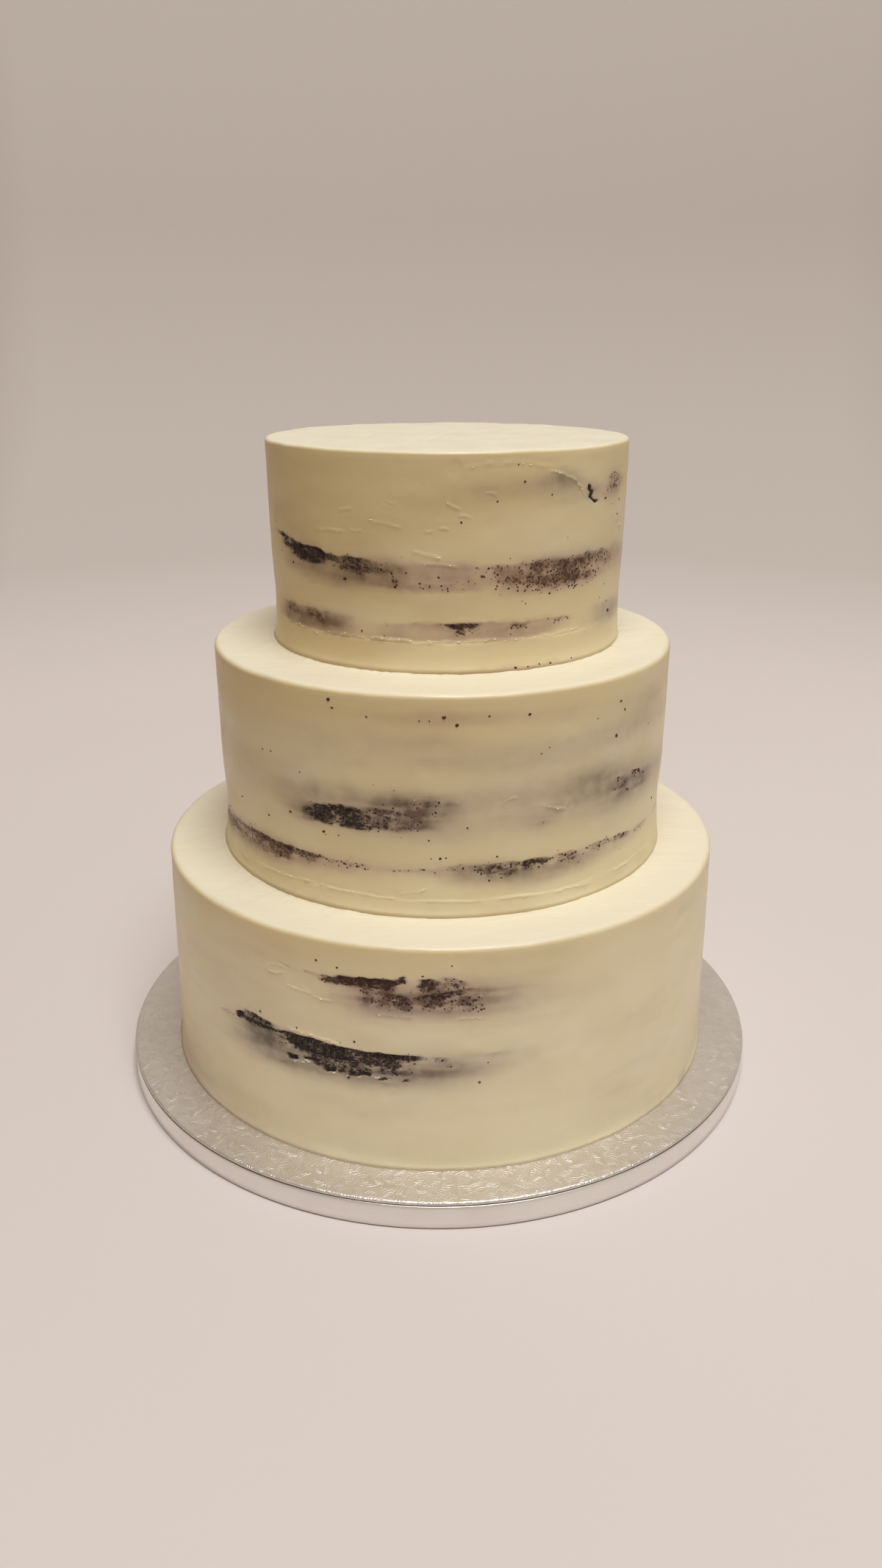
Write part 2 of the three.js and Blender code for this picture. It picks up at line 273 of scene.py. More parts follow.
TIER3_STROKES = listed(
    Stroke,
    (-68, -56, 49.4, 48, 1.8, 0.6, 0.6, 0.6, 0.8, 0.4, 0.3),
    (-64, -46, 46.8, 44.6, 5, 0.75, 0.72, 0.7, 1.8, 0.22, 0.2),
    (-57, -36, 44, 42.4, 6.8, 0.8, 0.8, 0.8, 2.2, 0.2, 0.2),
    (-52, -40, 41.4, 40.6, 3.4, 0.6, 0.56, 1.2, 1.8, 0.35, 0.3),
    (-46, -32, 44.4, 42.6, 3.6, 0.6, 0.62, 0.8, 1.8, 0.3, 0.3),
    (-37, -18, 41.6, 40.6, 6, 0.65, 0.64, 1, 2, 0.36, 0.4),
    (-30, -18, 39.8, 39.2, 4, 0.4, 0.46, 1.2, 1.8, 0.45, 0.6),
    (-23, -11, 41.6, 40.4, 3.6, 0.24, 0.34, 1.5, 1.8, 0.35, 0.7),
    (-14, 10, 36.6, 36, 7, 0.05, 0.1, 2, 2, 0.35, 0.9),
    (-17.5, -14.6, 38, 35, 6, 0.25, 0.34, 1.5, 1.5, 0.35, 0.8),
    (-62, -12, 39.5, 36.5, 10, 0.2, 0.02, 3, 3, 0.25, 0.6),
    (-27, 14, 38, 37.4, 12, 0.36, 0.03, 3, 2, 0.25, 0.9),
    (6, 34, 38.5, 38, 9, 0.24, 0.42, 2, 3, 0.3, 1),
    (16, 64, 37.4, 38.6, 11, 0.25, 0.44, 3, 3.5, 0.25, 1),
    (30, 52, 38.4, 38.8, 8, 0.35, 0.56, 3, 3, 0.35, 1),
    (12, 54, 33.5, 34.2, 8, 0.14, 0.32, 3, 2.5, 0.3, 1),
    (44, 62, 42.2, 41.8, 3.4, 0.2, 0.36, 1.5, 2, 0.35, 1),
    (-72, -24, 16.6, 16.2, 9, 0.5, 0.03, 1.5, 2, 0.25, 0.9),
    (-62, -50, 18.8, 18.2, 3.2, 0.16, 0.36, 1.2, 2, 0.3, 0.8),
    (-50, -40, 18.6, 17.8, 4.6, 0.2, 0.56, 1.5, 2, 0.35, 0.8),
    (-30, 44, 16.2, 16.4, 7, 0.36, 0.05, 1.5, 2, 0.2, 0.9),
    (-5, 13, 18.8, 18.6, 2.4, 0.55, 0.76, 0.6, 1.4, 0.3, 0.7),
    (-2, 11, 17.2, 17, 3.6, 0.25, 0.62, 1.2, 1.8, 0.35, 0.9),
    (17, 26, 17.8, 17.6, 2.4, 0.35, 0.6, 0.8, 1.4, 0.35, 0.8),
    (29, 42, 17.6, 18.2, 2, 0.3, 0.54, 0.8, 1.4, 0.35, 0.8),
    (48, 80, 16.5, 16, 8.5, 0.22, 0.02, 3, 3, 0.35, 0.3),
    (43.4, 46.8, 70.2, 68.8, 2.4, 0.8, 0.95, 0.8, 0.8, 0.35, 0.2),
    (45.4, 48.2, 67.6, 65.8, 4, 0.85, 1, 0.9, 0.9, 0.3, 0.2),
    (45.2, 50.4, 64.4, 63.6, 1.8, 0.7, 0.9, 0.6, 0.6, 0.35, 0.3),
    (52, 70, 69.5, 69, 7.5, 0.25, 0.36, 2, 2.5, 0.35, 1),
    (55, 63, 69.5, 68.5, 4.5, 0.25, 0.34, 1.5, 1.5, 0.35, 0.9),
)

TIER1_SPECKS = listed(
    Speck,
    (-22.5, 91, 1.4, 1.2, 0), (-18.5, 89.5, 1.6, 1, 30), (2, 94, 0.9, 0.8, 0), (-35.5, 59.5, 1.6, 1, -20),
    (-27, 58, 0.9, 0.9, 0), (-15.5, 57.5, 1.6, 1, -40), (7, 41, 1.3, 1.1, 0), (8.5, 50, 0.9, 0.8, 0),
    (-16.8, 40.2, 1.8, 1.4, 40),
)

TIER2_SPECKS = listed(
    Speck,
    (-25.4, 88, 1.9, 1.7, 20), (-24.5, 85, 1.8, 0.8, -15), (-16.5, 83, 1, 0.9, 0), (-5, 82.4, 0.8, 0.8, 0),
    (-2.8, 82.5, 0.9, 0.8, 0), (0.3, 84, 2, 1.9, 0), (3, 81, 1.5, 2, -30), (10, 84, 1.2, 1, 0),
    (19, 83.5, 1.5, 1.1, 15), (44.5, 81.5, 1.6, 1.2, 0), (46.2, 77.5, 1.3, 1.4, 0), (37, 77, 0.9, 0.9, 0),
    (22, 67, 0.9, 0.8, 0), (24, 69, 0.8, 0.8, 0), (43.5, 67.5, 1.8, 2, 40), (58, 66, 0.8, 0.8, 0),
    (66, 27.5, 1.4, 1.6, 30), (-37.5, 37, 1.7, 1.5, 0), (-45.5, 31.5, 1.7, 0.9, -10),
    (-58, 33, 2.4, 0.8, 10), (-28, 32, 1.6, 1.2, 0), (-3, 33, 1, 0.9, 0), (5.5, 38.4, 1, 1, 0),
    (-0.5, 25, 1.3, 1.2, 0), (0.8, 25.4, 0.9, 0.8, 0), (-2.6, 25, 0.9, 0.8, 0), (12.4, 25, 1.1, 1, 0),
    (-43, 61, 0.9, 1, 0), (-46, 60.6, 0.9, 1, 0), (-34, 55.5, 0.9, 0.8, 0), (10.6, 14.8, 1.2, 1, 0),
    (45.2, 48.4, 1.4, 1.3, 0), (52.6, 48, 3.6, 1.4, 8), (54.2, 47.2, 2, 2.6, 60), (47, 44, 1.8, 1.3, 0),
    (49.2, 41.5, 2.2, 1.3, 0), (56.8, 45, 1.5, 1, 0),
)

TIER3_SPECKS = listed(
    Speck,
    (3.8, 59, 1.1, 1.2, 0), (14, 66.6, 1, 0.9, 0), (22, 73.6, 1.4, 1.1, 0), (31, 68, 0.8, 1.2, 0),
    (20, 80, 0.8, 0.8, 0), (-31.6, 35.4, 2, 1.4, 0), (-54.6, 38.2, 1.4, 1.2, 0), (-16.4, 39, 1, 1.6, 30),
    (-16, 36.2, 1, 1.8, 20), (-15.4, 33.8, 1.4, 1.4, 0), (-12, 39.5, 0.9, 0.9, 0), (-8, 35.6, 1.2, 0.9, 0),
    (-5.2, 34.2, 0.8, 0.7, 0), (-1.6, 33.2, 0.7, 0.6, 0), (6, 36.4, 0.8, 0.6, 0), (-26.4, 15, 1, 1, 0),
    (62.5, 16, 2, 1.8, -30), (61, 20.5, 0.9, 1, 0), (49.4, 63.2, 1.2, 0.8, 0), (55, 64, 2.4, 1, 15),
    (66, 62, 1.6, 1, -15), (65, 56, 1.8, 0.9, -20), (10.2, 38.3, 2.4, 0.9, -12), (20.5, 0.9, 1.8, 0.9, 0),
    (24.5, 0.8, 1, 0.7, 0), (28.5, 1.2, 1, 0.8, 0), (32.5, 0.9, 1.6, 0.9, 0), (41, 1.2, 1.2, 0.9, 0),
)


COAT_SIDE = 2.8  # icing over the stacked layers
COAT_TOP = 4.0
GAP = 0.3  # what the frame leaves open between pieces that touch


def tier_from_frame(name, **form):
    """A tier whose place and height are its icing's in the frame."""
    low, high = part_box(f"{name}_icing")
    centre = ((low.x + high.x) / 2 / MM, (low.y + high.y) / 2 / MM)
    foot = low.z / MM - GAP
    return Tier(name=name, centre=centre, foot=foot, height=high.z / MM - foot, **form)


TIERS = [
    tier_from_frame(
        "tier1", foot_radius=129.4, top_radius=127.4, waist=(30, 0.3, 20), flare=(0.5, 7), rim=2.6,
        band=(3.0, 0.18, -80, -5), golden=0.05, mirror=200,
        hazes=TIER1_HAZES, strokes=TIER1_STROKES, specks=TIER1_SPECKS,
    ),
    tier_from_frame(
        "tier2", foot_radius=101.9, top_radius=102.3, waist=(21, 1.0, 12), flare=(0.6, 9), rim=2.4,
        band=(7.0, 0.22, -80, 75), golden=0.45, mirror=184,
        hazes=TIER2_HAZES, strokes=TIER2_STROKES, specks=TIER2_SPECKS,
    ),
    tier_from_frame(
        "tier3", foot_radius=77.3, top_radius=78.3, waist=(20, 0.5, 12), flare=(0.7, 6), rim=1.8,
        band=(11.8, 0.22, -80, 60), golden=0.7, mirror=172,
        hazes=TIER3_HAZES, strokes=TIER3_STROKES, specks=TIER3_SPECKS,
    ),
]

SPONGES = ("sponge_bottom", "sponge_middle", "sponge_top")
FILLINGS = ("filling_lower", "filling_upper")

SCOOP = 0.45  # how far bared crumb lies below the icing round it
BARE = 0.86  # the share of crumb at which its mean surface stands level with the icing
CRUMB_DEPTH = 2.4  # how far the crumb falls back for each unit of crumb lost
CRUMB_HEIGHT = 1.2  # height of the crumb's own relief
CRUMB_MEAN = 0.42  # and its mean, as a share of that height
CRUMB_PROUD = 0.35  # the most that crumb stands out of the icing


def around(tier, angle, radius, height):
    """Points in space, in mm, at angles in radians, radii and heights above a tier's foot."""
    x = tier.centre[0] + radius * np.sin(angle)
    y = tier.centre[1] - radius * np.cos(angle)
    z = tier.foot + height + np.zeros_like(x)
    return np.stack([x, y, z], axis=-1)


def coat_radius(tier, height):
    """The icing's radius: a slight taper, a waist where the scraper pressed, and a flare at the foot."""
    taper = tier.foot_radius + (tier.top_radius - tier.foot_radius) * height / tier.height
    waist_height, waist_depth, waist_spread = tier.waist
    flare, flare_height = tier.flare
    pressed = waist_depth * bell(height, waist_height, waist_spread)
    return taper - pressed + flare * np.clip(1 - height / flare_height, 0, 1) ** 2


def stack_radius(tier):
    return coat_radius(tier, tier.waist[0]) - COAT_SIDE


def turned_by(degrees, start):
    """Angles from a start, between -180 and 180."""
    return (degrees - start + 180) % 360 - 180


def share_along(mark, degrees):
    """How far along a mark, from 0 at its start to 1 at its end, each angle lies."""
    return turned_by(degrees, (mark.start + mark.end) / 2) / (mark.end - mark.start) + 0.5


def angle_at(mark, u):
    """The angle at a share of a mark's length."""
    return mark.start + (mark.end - mark.start) * u


def height_at(mark, u):
    """The height of a mark's middle at a share of its length."""
    return mark.left + (mark.right - mark.left) * u


def stroke_share(stroke, degrees, height):
    """How much of a stroke lies at each place, from 0 to 1."""
    u = share_along(stroke, degrees)
    ends = smooth_step(0, stroke.ends, u) * smooth_step(0, stroke.ends, 1 - u)
    half = stroke.width / 2 * (0.45 + 0.55 * np.clip(4 * u * (1 - u), 0, 1) ** 0.5)
    above = height - height_at(stroke, u)
    upper = 1 - smooth_step(half - stroke.upper / 2, half + stroke.upper / 2, above)
    lower = 1 - smooth_step(half - stroke.lower / 2, half + stroke.lower / 2, -above)
    return ends * upper * lower


def haze_share(haze, degrees, height):
    """How much of a haze lies at each place, from 0 to 1."""
    away = (turned_by(degrees, haze.angle) / haze.reach) ** 2 + ((height - haze.height) / haze.tall) ** 2
    return np.exp(-(away**1.3))


REPEATED = 43.2  # degrees: what lies further round to the right than this has no likeness at the back


def scraped(tier, angle, height):
    """How thin the icing is, how much crumb shows and how warm the tone is at each place, 0 to 1 each."""
    flat = around(tier, angle, coat_radius(tier, height), height)
    drift = 2.2 * value_noise(flat, 9, 11) + 0.9 * value_noise(flat, 3.2, 12)
    dragged = 2.4 * value_noise(flat, (26, 26, 2.2), 15)
    lift = 0.6 * value_noise(flat, (9, 9, 5), 13) + 0.45 * value_noise(flat, (3, 3, 2), 14)
    degrees = np.degrees(angle + (drift + dragged) / tier.foot_radius)
    lifted = height + lift
    covered = np.ones_like(lifted)
    clean = np.ones_like(lifted)
    warmth = np.zeros_like(lifted)
    weight = np.full_like(lifted, 1e-6)
    for place, farthest in ((degrees, 180), (tier.mirror - degrees, REPEATED)):
        for haze in tier.hazes:
            if haze.angle > farthest:
                continue
            thinned = haze_share(haze, place, lifted) * haze.veil
            covered *= 1 - thinned
            warmth += thinned * haze.warm
            weight += thinned
        for stroke in tier.strokes:
            if stroke.start > farthest:
                continue
            share = stroke_share(stroke, place, lifted)
            covered *= 1 - share * stroke.veil
            clean *= 1 - share * stroke.crumb
            warmth += share * stroke.warm * stroke.veil
            weight += share * stroke.veil
    streaks = 1 + 0.22 * value_noise(flat, (22, 22, 1.8), 21) + 0.12 * value_noise(flat, (8, 8, 5), 22)
    clouds = value_noise(flat, (34, 34, 13), 23) + 0.6 * value_noise(flat, (15, 15, 4), 24)
    covered *= 1 - 0.11 * np.clip(clouds, 0, 1)
    veil = np.clip((1 - covered) * streaks, 0, 1)
    bare = np.clip((1 - clean) * (0.5 + 0.5 * streaks), 0, 1)
    return veil, bare, warmth / weight


def scoop(bare):
    """How far the surface lies back where the scraper bit down to the crumb, in mm."""
    return SCOOP * smooth_step(0.25, 0.85, bare)


def crumb(points):
    """The crumb's own relief, 0 to 1, of coarse and fine grains."""
    return 0.55 * pebbles(points, 1.7, 31) + 0.45 * pebbles(points, 0.85, 41)


def crumb_stand(bare, relief):
    """How far the crumb stands out of the icing, in mm; below zero it is covered."""
    stand = (bare - BARE) * CRUMB_DEPTH + (relief - CRUMB_MEAN) * CRUMB_HEIGHT
    return np.where(stand > 0, CRUMB_PROUD * np.tanh(stand / CRUMB_PROUD), stand)


# Relief of the icing

# A ridge is a thin raised line of icing left by the scraper: its start and end in degrees, the height
# at each end, how far it bows upwards in the middle, how tall it stands and how wide it is.
Ridge = namedtuple("Ridge", "start end left right bow tall wide")

RIDGES = {
    "tier1": listed(
        Ridge,
        (-33.5, -29, 80.2, 82.5, -0.6, 0.3, 0.7), (-33.5, -29, 82.6, 84.2, 1, 0.22, 0.7),
        (-29, -23, 77.2, 76, -0.6, 0.2, 0.7), (-24, -19, 75, 74.2, -0.5, 0.16, 0.6),
        (-48, -41, 51.6, 51, -0.4, 0.3, 0.9), (-30, -17, 57, 55, 0.3, 0.25, 0.7),
        (-30, -25.6, 42.2, 42.7, -0.5, 0.3, 0.6), (-25.8, -21.8, 44, 44.6, -0.3, 0.26, 0.5),
        (-23.4, -19, 40.7, 41.4, -0.6, 0.3, 0.6), (-18, -8, 40.4, 41.6, 1.4, 0.3, 0.7),
        (-12, -4, 71.6, 71, -0.3, 0.16, 0.8), (2, 8, 69.5, 70.5, 0.6, 0.14, 0.7),
    ),
    "tier2": listed(
        Ridge,
        (-50, -30, 6.4, 7.8, 0.3, 0.35, 0.6), (-31, -8, 7.6, 6.6, 0.2, 0.28, 0.6),
        (-5, 8, 6.6, 6.2, 0.1, 0.2, 0.6), (12, 24, 6.4, 5.8, 0.2, 0.26, 0.6),
        (26, 38, 5.9, 5.2, 0.2, 0.2, 0.6), (44, 62, 6, 7.4, 0.2, 0.25, 0.6),
        (-61, -56, 4.6, 5, 0.3, 0.28, 0.7), (-42, -38, 12.6, 13.4, 0.4, 0.26, 0.7),
        (-10, -3, 9.2, 12, -0.6, 0.22, 0.6), (13, 17, 47.5, 50, 0.8, 0.18, 0.7),
        (22, 29.5, 45.6, 41.6, -0.6, 0.34, 0.7), (29, 30.2, 41.8, 47.6, 0.2, 0.3, 0.6),
        (-7, -1, 49.6, 50.2, 0.4, 0.14, 0.7),
    ),
    "tier3": listed(
        Ridge,
        (-62, -42, 13.4, 11.6, -0.2, 0.3, 0.6), (-43, -24, 11.8, 12.2, 0.5, 0.34, 0.6),
        (-25, -9, 12.4, 11.8, 0.6, 0.34, 0.6), (-10, 6, 11.6, 12.4, 0.4, 0.34, 0.6),
        (5, 24, 12.2, 12, 0.6, 0.26, 0.6), (22, 46, 11.8, 13, 0.2, 0.2, 0.6),
        (29, 41.5, 77, 70.4, 1.6, 0.42, 0.9), (40.5, 44, 71.4, 65.4, 0.6, 0.36, 0.8),
        (2, 34, 78.4, 77.4, 2.6, 0.1, 1.6), (-42, -31, 53, 53.8, 0.7, 0.13, 1.1),
        (-30, -25, 55.2, 55, -0.4, 0.16, 0.7), (-24, -12, 58.4, 56.2, 0.5, 0.1, 1),
        (-17.5, -14, 66.2, 66, -0.5, 0.16, 0.7), (-33, -28, 61.8, 63, 0.4, 0.12, 0.9),
        (-7, -4, 55.6, 56.2, -0.6, 0.2, 0.7), (-3, 0.5, 56.6, 56.2, 0.3, 0.15, 0.6),
        (-11, -1, 47.6, 44.8, 0.6, 0.17, 1.2), (-8, 4, 43.2, 41.2, 0.8, 0.16, 1),
        (2.5, 7, 61.2, 60.8, 0.5, 0.18, 0.7), (-1, 4, 67.2, 63.6, -0.4, 0.2, 0.8),
        (10, 14, 69.6, 68.6, 0.6, 0.18, 0.7), (66, 70, 51.4, 50.6, 0.2, 0.24, 0.8),
    ),
}


def ridge_line(ridge, u):
    """The height of a ridge at a share of its length."""
    return height_at(ridge, u) + ridge.bow * (1 - (2 * u - 1) ** 2)


def along_ridge(tier, ridge, degrees):
    """For the front and the back: the share of a ridge's length, and its height there."""
    for place in (degrees, tier.mirror - degrees):
        u = share_along(ridge, place)
        yield u, ridge_line(ridge, u)


def ridge_relief(tier, degrees, height, points):
    """Raised lines, each broken up along its length so that it comes and goes."""
    total = np.zeros_like(height)
    broken = np.clip(0.75 + 0.9 * layered_noise(points, 3.2, 51, 2), 0, 1.5)
    wander = 0.55 * layered_noise(points, 4.0, 52, 2)
    for ridge in RIDGES[tier.name]:
        for u, line in along_ridge(tier, ridge, degrees):
            inside = smooth_step(0, 0.2, u) * smooth_step(0, 0.2, 1 - u)
            total += ridge.tall * inside * bell(height - line, wander, ridge.wide * 0.6)
    return 1.5 * total * broken


def near_ridge(tier, degrees, height):
    """Whether each place lies close enough to a ridge to need a fine mesh."""
    near = np.zeros(height.shape, bool)
    for ridge in RIDGES[tier.name]:
        for u, line in along_ridge(tier, ridge, degrees):
            near |= (u > -0.05) & (u < 1.05) & (np.abs(height - line) < 1.6)
    return near


def smear_relief(points):
    """The icing's uneven surface: slow waves, long scraper marks round the tier and fine drag lines."""
    waves = 0.22 * layered_noise(points, 55, 61, 2)
    marks = 0.09 * value_noise(points, (26, 26, 6), 63)
    drags = 0.035 * layered_noise(points, (18, 18, 1.3), 64, 2)
    lumps = 0.05 * value_noise(points, 7, 66)
    return waves + marks + drags + lumps


def pit_relief(points):
    """Scattered shallow pits where air or crumb pulled out of the icing."""
    return -0.18 * smooth_step(0.72, 0.86, pebbles(points, 11, 71))


# Mesh making

FOLD = 4  # a cell of a net is split this many times each way where there is fine detail
SECTORS = 3  # a round piece's texture layout is cut into this many stacked strips


def beside(split, down, across):
    """Whether the neighbour of each whole cell in one direction is split. Columns run round, rows don't."""
    moved = np.roll(split, (-down, -across), axis=(0, 1))
    if down:
        moved[-1 if down > 0 else 0] = False
    return moved & ~split


def net_faces(split):
    """The corners of a net's faces, as rows and columns of its fine lattice, and each face's corner count.

    A split cell becomes FOLD by FOLD faces, and a whole cell beside one takes up the places on their edge.
    """
    sides = [beside(split, down, across) for down, across in ((-1, 0), (0, 1), (1, 0), (0, -1))]
    edged = np.any(sides, axis=0)
    part = np.arange(FOLD)
    rows, columns = np.nonzero(split)
    fine_rows = (rows[:, None, None] * FOLD + part[:, None] + 0 * part).ravel()
    fine_columns = (columns[:, None, None] * FOLD + part + 0 * part[:, None]).ravel()
    rows, columns = np.nonzero(~split & ~edged)
    corners, sizes = [], []
    for low, left, size in ((fine_rows, fine_columns, 1), (rows * FOLD, columns * FOLD, FOLD)):
        square = size * np.array([(0, 0), (0, 1), (1, 1), (1, 0)])
        corners.append((np.stack([low, left], axis=-1)[:, None, :] + square).reshape(-1, 2))
        sizes.append(np.full(len(low), 4))
    walks = ((0, 0, 0, 1), (0, FOLD, 1, 0), (FOLD, FOLD, 0, -1), (FOLD, 0, -1, 0))
    for row, column in zip(*np.nonzero(edged)):
        outline = []
        for side, (from_row, from_column, down, across) in enumerate(walks):
            for step in range(FOLD if sides[side][row, column] else 1):
                place = (row * FOLD + from_row + down * step, column * FOLD + from_column + across * step)
                outline.append(place)
        corners.append(np.array(outline))
        sizes.append([len(outline)])
    return np.concatenate(corners), np.concatenate(sizes)


def stacked(u, v, sector):
    """Texture places from 0 to 1 each, put into their sector's strip with a margin."""
    margin = 0.004
    u = margin + u * (1 - 2 * margin)
    v = (sector + margin + v * (1 - 2 * margin)) / SECTORS
    return np.stack([u, v + 0 * u], axis=-1)


def skin(name, stations, columns, form, split=None, ring=False):
    """A closed mesh on a net that runs all round a tier or the drum.

    stations are places along its profile, in mm, and form turns angles and stations into points in mm and
    a dictionary of values for the material. A ring's last station meets its first; otherwise a fan closes
    each end.
    """
    rows = len(stations) - 1
    if split is None:
        split = np.zeros((rows, columns), bool)
    corners, sizes = net_faces(split)
    tall, wide = rows * FOLD, columns * FOLD
    fine_stations = np.interp(np.arange(tall + 1) / FOLD, np.arange(rows + 1), stations)
    row = corners[:, 0] % tall if ring else corners[:, 0]
    used, index = np.unique(row * wide + corners[:, 1] % wide, return_inverse=True)
    angles = -math.pi + TAU * (used % wide) / wide
    points, values = form(angles, fine_stations[used // wide])

    first = np.repeat(corners[np.concatenate([[0], np.cumsum(sizes)[:-1]]), 1], sizes)
    strip = wide // SECTORS
    sector = first // strip
    reach = stations[-1] - stations[0]
    along = (fine_stations[corners[:, 0]] - stations[0]) / reach
    uv = [stacked((corners[:, 1] - sector * strip) / strip, along, sector)]
    loops, counts = [index], [sizes]
    if not ring:
        column = np.arange(columns) * FOLD
        for end, v in ((0, 0.0), (tall, 1.0)):
            rim = np.searchsorted(used, end * wide + column)
            after = np.roll(rim, -1)
            pole = np.full(columns, len(points))
            points = np.concatenate([points, points[rim].mean(axis=0)[None]])
            fan = (pole, after, rim) if v == 0 else (pole, rim, after)
            loops.append(np.stack(fan, axis=1).ravel())
            counts.append(np.full(columns, 3))
            sector = column // strip
            left = stacked((column - sector * strip) / strip, v, sector)
            uv.append(np.stack([left, left, left], axis=1).reshape(-1, 2))
    piece = build_mesh(name, points, np.concatenate(loops), np.concatenate(counts), np.concatenate(uv))
    for key, value in values.items():
        give(piece, key, value)
    return piece


def net_places(stations, columns):
    """Angles and stations of a net's cell corners."""
    return np.meshgrid(-math.pi + TAU * np.arange(columns) / columns, stations)


def cells_near(busy):
    """The cells with a busy corner, given which corners are busy."""
    ahead = busy | np.roll(busy, -1, axis=1)
    return ahead[:-1] | ahead[1:]


def in_threes(length, step):
    """A number of columns of about the given step that divides into the texture layout's sectors."""
    return SECTORS * max(1, round(length / step / SECTORS))


def link(name, data):
    """An object that holds the given data, in the scene."""
    made = bpy.data.objects.new(name, data)
    bpy.context.collection.objects.link(made)
    return made


def build_mesh(name, vertices, corners, sizes, uv=None):
    """An object from vertices in mm, the corners of all faces in a row, and each face's corner count."""
    mesh = bpy.data.meshes.new(name)
    mesh.vertices.add(len(vertices))
    mesh.vertices.foreach_set("co", (np.asarray(vertices) * MM).astype(np.float32).ravel())
    mesh.loops.add(len(corners))
    mesh.loops.foreach_set("vertex_index", corners.astype(np.int32))
    mesh.polygons.add(len(sizes))
    starts = np.concatenate([[0], np.cumsum(sizes)[:-1]]).astype(np.int32)
    mesh.polygons.foreach_set("loop_start", starts)
    if uv is not None:
        layer = mesh.uv_layers.new(name="OFBake")
        layer.uv.foreach_set("vector", uv.astype(np.float32).ravel())
    mesh.update(calc_edges=True)
    mesh.validate()
    mesh.shade_smooth()
    return link(name, mesh)


def give(piece, name, values):
    """Stores one number for each vertex, for the material to read."""
    attribute = piece.data.attributes.new(name, "FLOAT", "POINT")
    filled = np.zeros(len(piece.data.vertices), np.float32)
    flat = np.asarray(values, np.float32).ravel()
    filled[: len(flat)] = flat
    attribute.data.foreach_set("value", filled)


# Icing

CELL = 1.8  # the net's cells on the side of the icing; split ones are a quarter of this
TOP_CELL = 1.3
COVERED_CELL = 9.0  # where the next tier hides the top
RIM_STEPS = 6
FINE_FROM = 0.04  # the net is split where more crumb than this shows
INSIDE = 3  # rings that close the coat inside, below its foot
FOOT = -0.4  # how far the icing reaches below its tier's foot
SETTLE = 0.34  # how far the tops lie below the frame's, so that their relief stays inside its box
FAR = 99.0  # farther from the next tier's foot than any icing that it drags
PAINTED_SHADE_DEPTH = 17  # how far down under the rim the painted shade fades
NEAR_FOOT = (2.6, 3.2)  # middle and half width of the ring of dragged icing round the next tier's foot


def band_relief(tier, angle, height, points):
    """The slightly thicker smooth band of icing round the foot of a tier."""
    top, thick, start, end = tier.band
    line = top + 0.7 * value_noise(points, 15, 53) + 0.3 * value_noise(points, 4, 54)
    turned = np.degrees(angle)
    total = np.zeros_like(height)
    for place in (turned, turned_by(tier.mirror, turned)):
        inside = smooth_step(start, start + 12, place) * (1 - smooth_step(end - 12, end, place))
        total = np.maximum(total, thick * inside * (1 - smooth_step(-0.3, 0.35, height - line)))
    return total


def side_relief(tier, angle, height):
    """All relief of a tier's side, in mm, and how thin, bare and warm its icing is."""
    flat = around(tier, angle, coat_radius(tier, height), height)
    veil, bare, warm = scraped(tier, angle, height)
    relief = smear_relief(flat) + pit_relief(flat) - scoop(bare)
    relief = relief + ridge_relief(tier, np.degrees(angle), height, flat)
    relief = relief + band_relief(tier, angle, height, flat) + foot_smear(tier, angle, height)
    return relief, veil, bare, warm


def rim_wobble(tier, angle):
    """The top edge's unevenness, in mm: how far it stands up or dips."""
    edge = around(tier, angle, tier.top_radius, tier.height)
    return 0.40 * layered_noise(edge, 16, 81) + 0.12 * layered_noise(edge, 3.6, 82, 2) - SETTLE


def tier_above(tier):
    """The next tier up, or None."""
    place = TIERS.index(tier) + 1
    return TIERS[place] if place < len(TIERS) else None


def next_foot(tier, points):
    """How far points lie outside the foot of the tier above, and their angle round it."""
    upper = tier_above(tier)
    if upper is None:
        return np.full(points.shape[:-1], FAR), np.zeros(points.shape[:-1])
    x, y = points[..., 0] - upper.centre[0], points[..., 1] - upper.centre[1]
    return np.hypot(x, y) - upper.foot_radius, np.degrees(np.arctan2(x, -y))


def top_relief(tier, points):
    """The spatula's long faint strokes, and icing dragged into the corner under the next tier."""
    turn = 0.35 + 0.5 * TIERS.index(tier)
    x, y = points[..., 0], points[..., 1]
    along = x * math.cos(turn) + y * math.sin(turn)
    across = -x * math.sin(turn) + y * math.cos(turn) + along**2 / 420
    lines = np.stack([along, across, 0 * along], axis=-1)
    strokes = 0.20 * layered_noise(lines, (60, 5, 50), 85, 2)
    drags = 0.10 * value_noise(lines, (34, 1.7, 50), 87)
    away, angle = next_foot(tier, points)
    left = np.exp(-(((angle + 48) / 42) ** 4))
    right = np.exp(-(((angle - 40) / 26) ** 4))
    off_crest = away - 3.6 - 0.5 * value_noise(points, 16, 88)
    trench = 0.26 * bell(off_crest, 0, 0.5) - 0.12 * bell(off_crest, -1.3, 0.8)
    lip = 0.35 * bell(away, 0.9, 0.5) * (0.6 + 0.6 * value_noise(points, 3, 89))
    return strokes + drags - SETTLE + left * trench + right * lip


